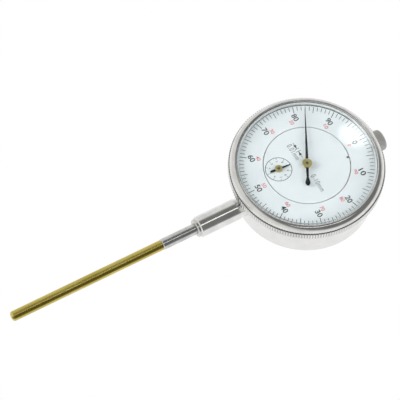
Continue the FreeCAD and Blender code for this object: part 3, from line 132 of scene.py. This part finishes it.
class Surface:
    """A material with its Principled shader and short ways to wire nodes to it."""

    def __init__(self, name):
        self.material = bpy.data.materials.new(name)
        self.material.use_nodes = True
        self.nodes = self.material.node_tree.nodes
        self.links = self.material.node_tree.links
        self.shader = self.nodes["Principled BSDF"]
        self.coordinates = self.nodes.new("ShaderNodeTexCoord")

    def set(self, **values):
        for key, value in values.items():
            self.shader.inputs[key.replace("_", " ")].default_value = value
        return self

    def node(self, kind, **props):
        item = self.nodes.new(kind)
        for key, value in props.items():
            setattr(item, key, value)
        return item

    def stretched(self, stretch):
        mapping = self.node("ShaderNodeMapping")
        mapping.inputs["Scale"].default_value = stretch
        self.links.new(self.coordinates.outputs["Object"], mapping.inputs["Vector"])
        return mapping.outputs["Vector"]

    def noise(self, size, stretch=(1, 1, 1), detail=3.0, roughness=0.55):
        """Noise with features of about this many millimetres, longer where stretch is under 1."""
        item = self.node("ShaderNodeTexNoise")
        item.inputs["Scale"].default_value = 1 / (size * MM)
        item.inputs["Detail"].default_value = detail
        item.inputs["Roughness"].default_value = roughness
        self.links.new(self.stretched(stretch), item.inputs["Vector"])
        return item.outputs["Fac"]

    def ramp(self, source, stops):
        item = self.node("ShaderNodeValToRGB")
        ramp = item.color_ramp
        while len(ramp.elements) < len(stops):
            ramp.elements.new(0.5)
        for element, (place, colour) in zip(ramp.elements, stops):
            element.position = place
            element.color = colour if len(colour) == 4 else (*colour, 1.0)
        self.links.new(source, item.inputs["Fac"])
        return item.outputs["Color"]

    def span(self, source, low, high, source_low=0.3, source_high=0.7):
        item = self.node("ShaderNodeMapRange")
        item.inputs["From Min"].default_value = source_low
        item.inputs["From Max"].default_value = source_high
        item.inputs["To Min"].default_value = low
        item.inputs["To Max"].default_value = high
        self.links.new(source, item.inputs["Value"])
        return item.outputs["Result"]

    def notch_depth(self):
        """One at the bottom of the bezel's notches, where painted shade goes, and zero elsewhere."""
        flat = self.node("ShaderNodeVectorMath", operation="MULTIPLY")
        flat.inputs[1].default_value = (1, 1, 0)
        self.links.new(self.coordinates.outputs["Object"], flat.inputs[0])
        reach = self.node("ShaderNodeVectorMath", operation="LENGTH")
        self.links.new(flat.outputs["Vector"], reach.inputs[0])
        split = self.node("ShaderNodeSeparateXYZ")
        self.links.new(self.coordinates.outputs["Object"], split.inputs["Vector"])
        floor_radius = (NOTCH_RADIUS + 0.04) * MM
        top_radius = (BEZEL_RADIUS - 0.07) * MM
        inward = self.span(reach.outputs["Value"], 1.0, 0.0, floor_radius, top_radius)
        below = self.span(split.outputs["Z"], 1.0, 0.0, BAND_TOP * MM, (BAND_TOP + 0.25) * MM)
        above = self.span(split.outputs["Z"], 0.15, 0.9, (BAND_TOP - 1.1) * MM, (BAND_TOP - 0.3) * MM)
        amount = inward
        for source in (below, above):
            both = self.node("ShaderNodeMath", operation="MULTIPLY")
            self.links.new(amount, both.inputs[0])
            self.links.new(source, both.inputs[1])
            amount = both.outputs["Value"]
        return amount

    def streak(self, height, middle, half, soft):
        """One along a strip of a bar that lies along Y at this height, placed by its angle from +X."""
        split = self.node("ShaderNodeSeparateXYZ")
        self.links.new(self.coordinates.outputs["Object"], split.inputs["Vector"])
        lowered = self.node("ShaderNodeMath", operation="SUBTRACT")
        lowered.inputs[1].default_value = height * MM
        self.links.new(split.outputs["Z"], lowered.inputs[0])
        angle = self.node("ShaderNodeMath", operation="ARCTAN2")
        self.links.new(lowered.outputs["Value"], angle.inputs[0])
        self.links.new(split.outputs["X"], angle.inputs[1])
        away = self.node("ShaderNodeMath", operation="SUBTRACT")
        away.inputs[1].default_value = math.radians(middle)
        self.links.new(angle.outputs["Value"], away.inputs[0])
        size = self.node("ShaderNodeMath", operation="ABSOLUTE")
        self.links.new(away.outputs["Value"], size.inputs[0])
        return self.span(size.outputs["Value"], 1.0, 0.0, math.radians(half), math.radians(half + soft))

    def tinted(self, colour, source, tint):
        item = self.node("ShaderNodeMix", data_type="RGBA", blend_type="MIX")
        self.links.new(source, item.inputs["Factor"])
        self.links.new(colour, item.inputs["A"])
        item.inputs["B"].default_value = tint
        return item.outputs["Result"]

    def drive(self, key, source):
        self.links.new(source, self.shader.inputs[key])
        return self

    def bump(self, source, height, strength=0.5):
        item = self.node("ShaderNodeBump")
        item.inputs["Strength"].default_value = strength
        item.inputs["Distance"].default_value = height * MM
        self.links.new(source, item.inputs["Height"])
        previous = self.shader.inputs["Normal"].links
        if previous:
            self.links.new(previous[0].from_socket, item.inputs["Normal"])
        self.links.new(item.outputs["Normal"], self.shader.inputs["Normal"])
        return self


def grey(level, warmth=0.0):
    return (level, level * (1 - warmth * 0.3), level * (1 - warmth))


def metal(name, dark, light, gloss, grain, grain_size=0.25, grain_height=0.002, patch=6.0, shaded_knurl=False):
    """Bare metal: patches between two colours, lines of its making, uneven gloss, painted shade in a
    knurl's notches.
    """
    surface = Surface(name).set(Metallic=1.0)
    patches = surface.noise(patch, detail=4.0)
    lines = surface.noise(grain_size, grain, detail=2.0)
    colour = surface.ramp(patches, [(0.35, dark), (0.65, light)])
    if shaded_knurl:
        # Painted shade: the bottoms of the knurl's notches and the groove above them are darkened
        colour = surface.tinted(colour, surface.notch_depth(), NOTCH_SHADE)
    surface.drive("Base Color", colour)
    surface.drive("Roughness", surface.span(surface.noise(patch * 0.4), gloss * 0.75, gloss * 1.3))
    surface.bump(lines, grain_height, 0.35)
    return surface.material


def drawn_brass():
    """Brass rod with painted shade in a darker strip along one side of it."""
    surface = Surface("rod_brass").set(Metallic=0.8)
    patches = surface.noise(5.0, (1, 0.3, 1), detail=4.0)
    colour = surface.ramp(patches, [(0.35, (0.50, 0.40, 0.085)), (0.65, (0.62, 0.52, 0.14))])
    # Painted shade: a darker strip along one side of the rod, at a fixed angle
    colour = surface.tinted(colour, surface.streak(ROD_HEIGHT, 44, 14, 9), ROD_SHADE)
    surface.drive("Base Color", colour)
    surface.drive("Roughness", surface.span(surface.noise(2.0), 0.24, 0.36))
    surface.bump(surface.noise(0.5, ALONG_STEM, detail=2.0), 0.0003, 0.35)
    return surface.material


def enamel(name, dark, light, gloss, speck=0.4, sheen=0.0):
    """Printed or painted face with a faint unevenness, and a metal sheen where one is given."""
    surface = Surface(name).set(Metallic=sheen)
    surface.drive("Base Color", surface.ramp(surface.noise(9.0), [(0.3, dark), (0.7, light)]))
    surface.drive("Roughness", surface.span(surface.noise(3.0), gloss * 0.85, gloss * 1.15))
    surface.bump(surface.noise(speck), 0.002, 0.3)
    return surface.material


def make_glass():
    surface = Surface("crystal_clear").set(IOR=1.49, Roughness=0.0)
    surface.shader.inputs["Transmission Weight"].default_value = 1.0
    surface.shader.inputs["Base Color"].default_value = (0.985, 0.995, 0.99, 1.0)
    faint = surface.noise(7.0)
    surface.bump(faint, 0.004, 0.05)
    clear = surface.node("ShaderNodeBsdfTransparent")
    clear.inputs["Color"].default_value = (0.93, 0.945, 0.945, 1.0)
    path = surface.node("ShaderNodeLightPath")
    mix = surface.node("ShaderNodeMixShader")
    out = surface.nodes["Material Output"]
    surface.links.new(path.outputs["Is Shadow Ray"], mix.inputs["Fac"])
    surface.links.new(surface.shader.outputs["BSDF"], mix.inputs[1])
    surface.links.new(clear.outputs["BSDF"], mix.inputs[2])
    surface.links.new(mix.outputs["Shader"], out.inputs["Surface"])
    return surface.material


# Grain directions, with a small number along the lines that the making left
ALONG_STEM = (1, 0.02, 1)
ROUND_Z = (0.06, 0.06, 1)
ROUND_Y = (0.06, 1, 0.06)
EVEN = (1, 1, 1)
ROLLED = (1, 0.03, 1)

# Colour of the painted shade in the bezel's notches and groove
NOTCH_SHADE = (0.32, 0.32, 0.30, 1.0)
# Colour of the painted shade along one side of the brass rod
ROD_SHADE = (0.20, 0.15, 0.02, 1.0)

DRUM = metal("drum_chrome", grey(0.74, 0.01), grey(0.80, 0.03), 0.13, ROUND_Z, 0.3, 0.0015)
BEZEL = metal("bezel_chrome", grey(0.66, 0.02), grey(0.76, 0.02), 0.14, ROUND_Z, 0.2, 0.0015, 4.0,
              shaded_knurl=True)
STEM = metal("stem_chrome", grey(0.68, 0.03), grey(0.80, 0.02), 0.12, ROUND_Y, 0.25, 0.002, 4.0)
COLLAR = metal("collar_steel", grey(0.55, 0.05), grey(0.68, 0.04), 0.2, ROUND_Y, 0.2, 0.002, 2.0)
CAP = enamel("cap_satin", grey(0.36, 0.05), grey(0.50, 0.04), 0.5, 0.3, sheen=0.35)
SPINDLE = metal("spindle_ground", grey(0.50, 0.03), grey(0.66, 0.02), 0.2, ROUND_Y, 0.3, 0.0006, 3.0)
BRASS_ROD = drawn_brass()
BRASS = metal("movement_brass", (0.52, 0.38, 0.13), (0.66, 0.50, 0.20), 0.3, ALONG_STEM, 0.2, 0.003, 8.0)
HUB = metal("hub_brass", (0.62, 0.54, 0.20), (0.80, 0.72, 0.32), 0.35, ROUND_Z, 0.1, 0.003, 1.5)
ARBOR = metal("arbor_steel", grey(0.16), grey(0.26), 0.3, EVEN, 0.2, 0.002, 1.0)
STEEL = metal("movement_steel", grey(0.42), grey(0.58), 0.25, EVEN, 0.2, 0.002, 3.0)
COVER = metal("cover_steel", grey(0.52), grey(0.62), 0.28, ROLLED, 0.25, 0.003, 10.0)
SPRING = metal("spring_steel", grey(0.22), grey(0.34), 0.2, EVEN, 0.2, 0.002, 2.0)
RING = enamel("ring_bright", grey(0.82, 0.01), grey(0.88, 0.01), 0.35, 0.3)
BLUED = metal("hand_blued", (0.02, 0.027, 0.03), (0.036, 0.045, 0.05), 0.3, ALONG_STEM, 0.2, 0.002, 3.0)
DIAL = enamel("dial_enamel", (0.735, 0.785, 0.815), (0.775, 0.82, 0.845), 0.5)
BLACK_INK = enamel("ink_black", (0.012, 0.014, 0.016), (0.03, 0.032, 0.036), 0.5, 0.15)
GREY_INK = enamel("ink_grey", (0.04, 0.045, 0.07), (0.08, 0.085, 0.11), 0.5, 0.15)
RED_INK = enamel("ink_red", (0.62, 0.10, 0.12), (0.74, 0.16, 0.18), 0.5, 0.15)
GLASS = make_glass()

FINISHES = {
    "case": DRUM,
    "back_cover": COVER,
    "back_cover_screws": STEEL,
    "stem": STEM,
    "stem_bush": COLLAR,
    "upper_bush": BRASS,
    "top_cap": CAP,
    "spindle": SPINDLE,
    "guide_pin": STEEL,
    "extension_rod": BRASS_ROD,
    "rack_pinion": ARBOR,
    "rack_gear": BRASS,
    "centre_pinion": ARBOR,
    "take_up_arbor": STEEL,
    "take_up_gear": BRASS,
    "hairspring": SPRING,
    "hairspring_stud": BRASS,
    "lower_plate": BRASS,
    "upper_plate": BRASS,
    "plate_pillars": BRASS,
    "pillar_screws": STEEL,
    "movement_screws": STEEL,
    "pinion_cock": BRASS,
    "cock_screws": STEEL,
    "guide_rail": BRASS,
    "rail_screws": STEEL,
    "spring_post": STEEL,
    "return_spring": SPRING,
    "inner_dial": DIAL,
    "dial_ring": DIAL,
    "small_hand": BLUED,
    "small_hand_hub": HUB,
    "main_hand": BLUED,
    "main_hand_hub": HUB,
    "bezel": BEZEL,
    "bezel_wire": SPRING,
    "retaining_ring": RING,
    "crystal": GLASS,
}
for node_name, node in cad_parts.items():
    node.data.materials.clear()
    node.data.materials.append(FINISHES[node_name])


def piece(name, mesh, material, body):
    """A visible piece of this mesh, on the body that it moves with."""
    item = bpy.data.objects.new(name, mesh)
    bpy.context.scene.collection.objects.link(item)
    mesh.materials.clear()
    mesh.materials.append(material)
    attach(item, body)
    return item


# Bezel

def curve(start, first, second, end, steps):
    """Points of a smooth curve after its start, led by two points between its ends."""
    points = []
    for index in range(1, steps + 1):
        share = index / steps
        rest = 1 - share
        weights = (rest ** 3, 3 * rest ** 2 * share, 3 * rest * share ** 2, share ** 3)
        corners = (start, first, second, end)
        points.append(tuple(sum(weight * corner[axis] for weight, corner in zip(weights, corners))
                            for axis in range(2)))
    return points


def bezel_profile(band_radius):
    """Section of the bezel, as (radius, height), from its bore's lower edge outwards and up."""
    band_edge = (min(band_radius, GROOVE_EDGE), BAND_TOP + 0.05)
    groove = (GROOVE_RADIUS, BAND_TOP - 0.1)
    wall = (SHOULDER_RADIUS, BAND_TOP + 0.25)
    crest = (CREST_RADIUS, BEZEL_TOP)
    inside = (LIP_RADIUS + 0.05, LIP_LOW + 0.55)
    points = [(BEZEL_BORE, BAND_LOW), (band_radius, BAND_LOW), (band_radius, BAND_TOP)]
    points += [band_edge, groove, wall]
    points += curve(wall, (28.4, 18.9), (27.4, BEZEL_TOP), crest, 12)
    points += curve(crest, (26.0, BEZEL_TOP), (25.8, 19.7), inside, 6)
    points += [(LIP_RADIUS, LIP_LOW), (BEZEL_BORE, LIP_LOW)]
    points += [(BEZEL_BORE, WIRE_GROOVE_TOP), (WIRE_GROOVE_RADIUS, WIRE_GROOVE_TOP)]
    points += [(WIRE_GROOVE_RADIUS, WIRE_GROOVE_LOW), (BEZEL_BORE, WIRE_GROOVE_LOW)]
    return points


def make_bezel():
    """The bezel with a rounded shoulder, a fine groove and its knurled band."""
    half_notch = NOTCH_HALF_WIDTH / BEZEL_RADIUS
    vertices = []
    columns = []
    for index in range(NOTCHES):
        middle = 2 * math.pi * index / NOTCHES
        for offset, radius in ((-half_notch, BEZEL_RADIUS), (0, NOTCH_RADIUS), (half_notch, BEZEL_RADIUS)):
            angle = middle + offset
            column = []
            for reach, height in bezel_profile(radius):
                column.append(len(vertices))
                vertices.append((reach * math.cos(angle) * MM, reach * math.sin(angle) * MM, height * MM))
            columns.append(column)
    faces = []
    for here, beside in zip(columns, columns[1:] + columns[:1]):
        count = len(here)
        for index in range(count):
            following = (index + 1) % count
            faces.append((here[index], beside[index], beside[following], here[following]))
    mesh = bpy.data.meshes.new("bezel_turned")
    mesh.from_pydata(vertices, [], faces)
    mesh.shade_smooth()
    mesh.set_sharp_from_angle(angle=BEZEL_SHARP_ANGLE)
    item = piece("bezel_turned", mesh, BEZEL, "bezel_ring")
    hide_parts("bezel")


# Print on the dial

DIAL_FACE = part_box("dial_ring")[1].z
PRINT_LEVEL = DIAL_FACE + PRINT_LIFT * MM


def add_plate(builder, corners):
    """A thin flat shape through corners given in millimetres on the dial's face."""
    points = [Vector((corner[0] * MM, corner[1] * MM, PRINT_LEVEL)) for corner in corners]
    face = builder.faces.new([builder.verts.new(point) for point in points])
    raised = bmesh.ops.extrude_face_region(builder, geom=[face])
    lifted = [item for item in raised["geom"] if isinstance(item, bmesh.types.BMVert)]
    bmesh.ops.translate(builder, verts=lifted, vec=(0, 0, PRINT_THICKNESS * MM))


def add_ring(builder, centre, inner, outer, steps=96):
    for index in range(steps):
        angles = [2 * math.pi * (index + side) / steps for side in (0, 1)]
        corners = []
        for radius, pair in ((inner, angles), (outer, angles[::-1])):
            for angle in pair:
                corners.append((centre[0] + radius * math.cos(angle), centre[1] + radius * math.sin(angle)))
        add_plate(builder, corners)


def add_disc(builder, centre, radius, steps=32):
    corners = []
    for index in range(steps):
        angle = 2 * math.pi * index / steps
        corners.append((centre[0] + radius * math.cos(angle), centre[1] + radius * math.sin(angle)))
    add_plate(builder, corners)


def dial_point(radius, turn):
    """A point of the dial, with turn in degrees clockwise from the zero."""
    angle = math.radians(90 + DIAL_TURN - turn)
    return Vector((radius * math.cos(angle), radius * math.sin(angle)))


def add_tick(builder, start, end, width):
    heading = (end - start).normalized()
    side = Vector((-heading.y, heading.x)) * width / 2
    add_plate(builder, [start - side, end - side, end + side, start + side])


def finish_mesh(builder, name):
    bmesh.ops.recalc_face_normals(builder, faces=builder.faces)
    mesh = bpy.data.meshes.new(name)
    builder.to_mesh(mesh)
    builder.free()
    return mesh


def make_scale():
    builder = bmesh.new()
    for index in range(DIVISIONS):
        inner = TICK_LONG if index % 5 == 0 else TICK_SHORT
        width = TICK_BOLD if index % 10 == 0 else TICK_WIDTH
        turn = index * 360 / DIVISIONS
        add_tick(builder, dial_point(inner, turn), dial_point(TICK_OUTER, turn), width)
    piece("scale_ticks", finish_mesh(builder, "scale_ticks"), BLACK_INK, "bezel_ring")


def letters(text, height, width, centre, weight=0.0, spacing=1.0):
    """A mesh of printed characters with this height and width in millimetres."""
    characters = bpy.data.curves.new("characters", "FONT")
    characters.body = text
    characters.offset = weight
    characters.space_character = spacing
    characters.extrude = 0.001
    item = bpy.data.objects.new("characters", characters)
    bpy.context.scene.collection.objects.link(item)
    bpy.context.view_layer.update()
    mesh = bpy.data.meshes.new_from_object(item)
    bpy.data.objects.remove(item)
    spots = [vertex.co for vertex in mesh.vertices]
    low = Vector([min(spot[axis] for spot in spots) for axis in range(3)])
    high = Vector([max(spot[axis] for spot in spots) for axis in range(3)])
    extent = high - low
    grow = Vector((width / extent.x, height / extent.y, PRINT_THICKNESS / extent.z)) * MM
    mesh.transform(Matrix.Translation(-(low + high) / 2))
    mesh.transform(Matrix.Diagonal((*grow, 1.0)))
    level = PRINT_LEVEL + PRINT_THICKNESS * MM / 2
    mesh.transform(Matrix.Translation((centre[0] * MM, centre[1] * MM, level)))
    return mesh


def merged(name, meshes):
    builder = bmesh.new()
    for mesh in meshes:
        builder.from_mesh(mesh)
        bpy.data.meshes.remove(mesh)
    joined = bpy.data.meshes.new(name)
    builder.to_mesh(joined)
    builder.free()
    return joined


def make_numbers():
    black = []
    red = []
    for index in range(10):
        place = dial_point(NUMBER_CIRCLE, index * 36)
        wide = ZERO_WIDTH if index == 0 else NUMBER_WIDTH
        black.append(letters(str(index * 10), NUMBER_HEIGHT, wide, place, 0.018))
        across, up = REVERSE_INWARD
        inward = Vector((math.copysign(across, place.x), math.copysign(up, place.y)))
        if abs(place.x) < 1:
            inward = Vector((0, math.copysign(REVERSE_BELOW, place.y)))
        number = str((10 - index) % 10 * 10)
        wide = REVERSE_ZERO_WIDTH if index == 0 else REVERSE_WIDTH
        red.append(letters(number, REVERSE_HEIGHT, wide, place - inward, 0.01))
    piece("scale_numbers", merged("scale_numbers", black), BLACK_INK, "bezel_ring")
    piece("reverse_numbers", merged("reverse_numbers", red), RED_INK, "bezel_ring")


def make_counter():
    """The counter's ring, ticks and digits, which run counter-clockwise."""
    builder = bmesh.new()
    add_ring(builder, COUNTER_CENTRE, COUNTER_RADIUS - COUNTER_LINE, COUNTER_RADIUS)
    digits = []
    for index in range(10):
        angle = math.radians(90 + index * 36)
        heading = Vector((math.cos(angle), math.sin(angle)))
        start = COUNTER_CENTRE + heading * (COUNTER_RADIUS - COUNTER_TICK)
        end = COUNTER_CENTRE + heading * COUNTER_RADIUS
        add_tick(builder, start, end, COUNTER_TICK_WIDTH)
        wide = 0.3 if index == 1 else 0.55
        place = COUNTER_CENTRE + heading * COUNTER_DIGIT_CIRCLE
        digits.append(letters(str(index), COUNTER_DIGIT_HEIGHT, wide, place))
    piece("counter_scale", finish_mesh(builder, "counter_scale"), GREY_INK, "gauge_body")
    piece("counter_numbers", merged("counter_numbers", digits), GREY_INK, "gauge_body")


def add_bar(builder, low, high):
    """An upright oblong between two corners."""
    add_plate(builder, [low, (high[0], low[1]), high, (low[0], high[1])])


def make_marks():
    """The division mark between two arrows, the units, and the dot at the zero."""
    builder = bmesh.new()
    middle, level = ARROW_PLACE
    for side in (-1, 1):
        bar = middle + side * 0.55
        head = middle + side * 2.3
        add_bar(builder, (bar - 0.09, level - 0.9), (bar + 0.09, level + 0.9))
        corners = [(bar, level), (head, level + 0.55), (head, level - 0.55)]
        add_plate(builder, corners if side > 0 else corners[::-1])
        shaft = sorted((head, head + side * 1.1))
        add_bar(builder, (shaft[0], level - 0.09), (shaft[1], level + 0.09))
    add_disc(builder, dial_point(15.5, 15.6), ZERO_DOT_RADIUS)
    piece("face_marks", finish_mesh(builder, "face_marks"), BLACK_INK, "gauge_body")
    words = [
        letters("0.01mm", 2.0, 6.9, (-7.1, -1.55), -0.006, 1.15),
        letters("0-10mm", 1.95, 7.6, (8.3, -0.2), -0.006, 1.15),
    ]
    piece("unit_marks", merged("unit_marks", words), GREY_INK, "gauge_body")


make_bezel()
make_scale()
make_numbers()
make_counter()
make_marks()


# Camera, floor and light

def aim_camera():
    data = bpy.data.cameras.new("camera")
    data.sensor_fit = "HORIZONTAL"
    data.sensor_width = SENSOR_WIDTH
    data.lens = CAMERA_LENS
    data.clip_end = CAMERA_REACH
    camera = bpy.data.objects.new("camera", data)
    bpy.context.scene.collection.objects.link(camera)
    turn = CAMERA_AIM.to_track_quat("-Z", "Y") @ Quaternion((0, 0, 1), CAMERA_ROLL)
    camera.matrix_world = Matrix.Translation(CAMERA_PLACE) @ turn.to_matrix().to_4x4()
    bpy.context.scene.camera = camera


def make_floor():
    """A floor that looks evenly white, and lights the gauge from below as a matt one does."""
    half = FLOOR_HALF
    mesh = bpy.data.meshes.new("floor")
    corners = [(-half, -half, 0), (half, -half, 0), (half, half, 0), (-half, half, 0)]
    mesh.from_pydata(corners, [], [(0, 1, 2, 3)])
    floor = bpy.data.objects.new("floor", mesh)
    bpy.context.scene.collection.objects.link(floor)
    surface = Surface("floor_white").set(Roughness=0.9)
    surface.shader.inputs["Base Color"].default_value = FLOOR_GREY
    glow = surface.node("ShaderNodeEmission")
    glow.inputs["Color"].default_value = WHITE
    glow.inputs["Strength"].default_value = 1.0
    path = surface.node("ShaderNodeLightPath")
    seen = path.outputs["Is Camera Ray"]
    for ray in ("Is Glossy Ray", "Is Transmission Ray"):
        either = surface.node("ShaderNodeMath", operation="MAXIMUM")
        surface.links.new(seen, either.inputs[0])
        surface.links.new(path.outputs[ray], either.inputs[1])
        seen = either.outputs["Value"]
    mix = surface.node("ShaderNodeMixShader")
    surface.links.new(seen, mix.inputs["Fac"])
    surface.links.new(surface.shader.outputs["BSDF"], mix.inputs[1])
    surface.links.new(glow.outputs["Emission"], mix.inputs[2])
    surface.links.new(mix.outputs["Shader"], surface.nodes["Material Output"].inputs["Surface"])
    mesh.materials.append(surface.material)
    floor.location.z = -FLOOR_DROP


def make_light(name, direction, distance, width, height, power):
    """A soft rectangular lamp that points at the origin, and that no polished face mirrors."""
    data = bpy.data.lights.new(name, "AREA")
    data.shape = "RECTANGLE"
    data.size = width
    data.size_y = height
    data.energy = power
    light = bpy.data.objects.new(name, data)
    bpy.context.scene.collection.objects.link(light)
    heading = Vector(direction).normalized()
    light.location = heading * distance
    light.rotation_euler = (-heading).to_track_quat("-Z", "Y").to_euler()
    light.visible_glossy = False


class Studio:
    """The world's nodes, which choose a level for each direction."""

    def __init__(self):
        world = bpy.data.worlds.new("studio")
        world.use_nodes = True
        bpy.context.scene.world = world
        self.nodes = world.node_tree.nodes
        self.links = world.node_tree.links
        self.around = self.nodes.new("ShaderNodeTexCoord").outputs["Generated"]

    def towards(self, direction):
        """How far a direction of the world agrees with this one, from -1 to 1."""
        item = self.nodes.new("ShaderNodeVectorMath")
        item.operation = "DOT_PRODUCT"
        item.inputs[1].default_value = Vector(direction).normalized()
        self.links.new(self.around, item.inputs[0])
        return item.outputs["Value"]

    def blend(self, source, low, high, first, last):
        """A value that goes smoothly from first to last while the source goes from low to high."""
        item = self.nodes.new("ShaderNodeMapRange")
        item.interpolation_type = "SMOOTHSTEP"
        for key, value in (("From Min", low), ("From Max", high), ("To Min", first), ("To Max", last)):
            item.inputs[key].default_value = value
        self.links.new(source, item.inputs["Value"])
        return item.outputs["Result"]

    def combine(self, operation, first, second):
        item = self.nodes.new("ShaderNodeMath")
        item.operation = operation
        for socket, source in zip(item.inputs, (first, second)):
            self.links.new(source, socket)
        return item.outputs["Value"]

    def band(self, source, middle, half, soft):
        """One within half of the middle, and zero beyond a soft edge."""
        rise = self.blend(source, middle - half - soft, middle - half, 0.0, 1.0)
        fall = self.blend(source, middle + half, middle + half + soft, 1.0, 0.0)
        return self.combine("MULTIPLY", rise, fall)


def make_world():
    """Pale low down all round and dark overhead, with a narrow strip light and a small lamp."""
    studio = Studio()
    room = studio.blend(studio.towards(ROOM_AXIS), *ROOM_EDGE, ROOM_LIGHT, ROOM_DARK)
    across = studio.band(studio.towards(STRIP_SIDE), 0.0, 0.05, 0.03)
    along = studio.band(studio.towards((0, 1, 0)), 0.05, 0.3, 0.1)
    strip = studio.blend(studio.combine("MULTIPLY", across, along), 0.0, 1.0, 0.0, STRIP_LEVEL)
    lamp = studio.blend(studio.towards(LAMP_AIM), LAMP_EDGE, LAMP_CORE, 0.0, LAMP_LEVEL)
    total = studio.combine("ADD", room, studio.combine("ADD", strip, lamp))
    background = studio.nodes["Background"]
    studio.links.new(total, background.inputs["Strength"])
    background.inputs["Color"].default_value = ROOM_COLOUR


aim_camera()
make_floor()
make_world()
make_light("key", (-0.5, -0.9, 0.6), 1.6, 1.0, 1.0, 14.5)
make_light("fill", (0.9, 0.4, 0.6), 1.6, 0.8, 0.8, 11)
bpy.context.scene.view_settings.view_transform = "Standard"
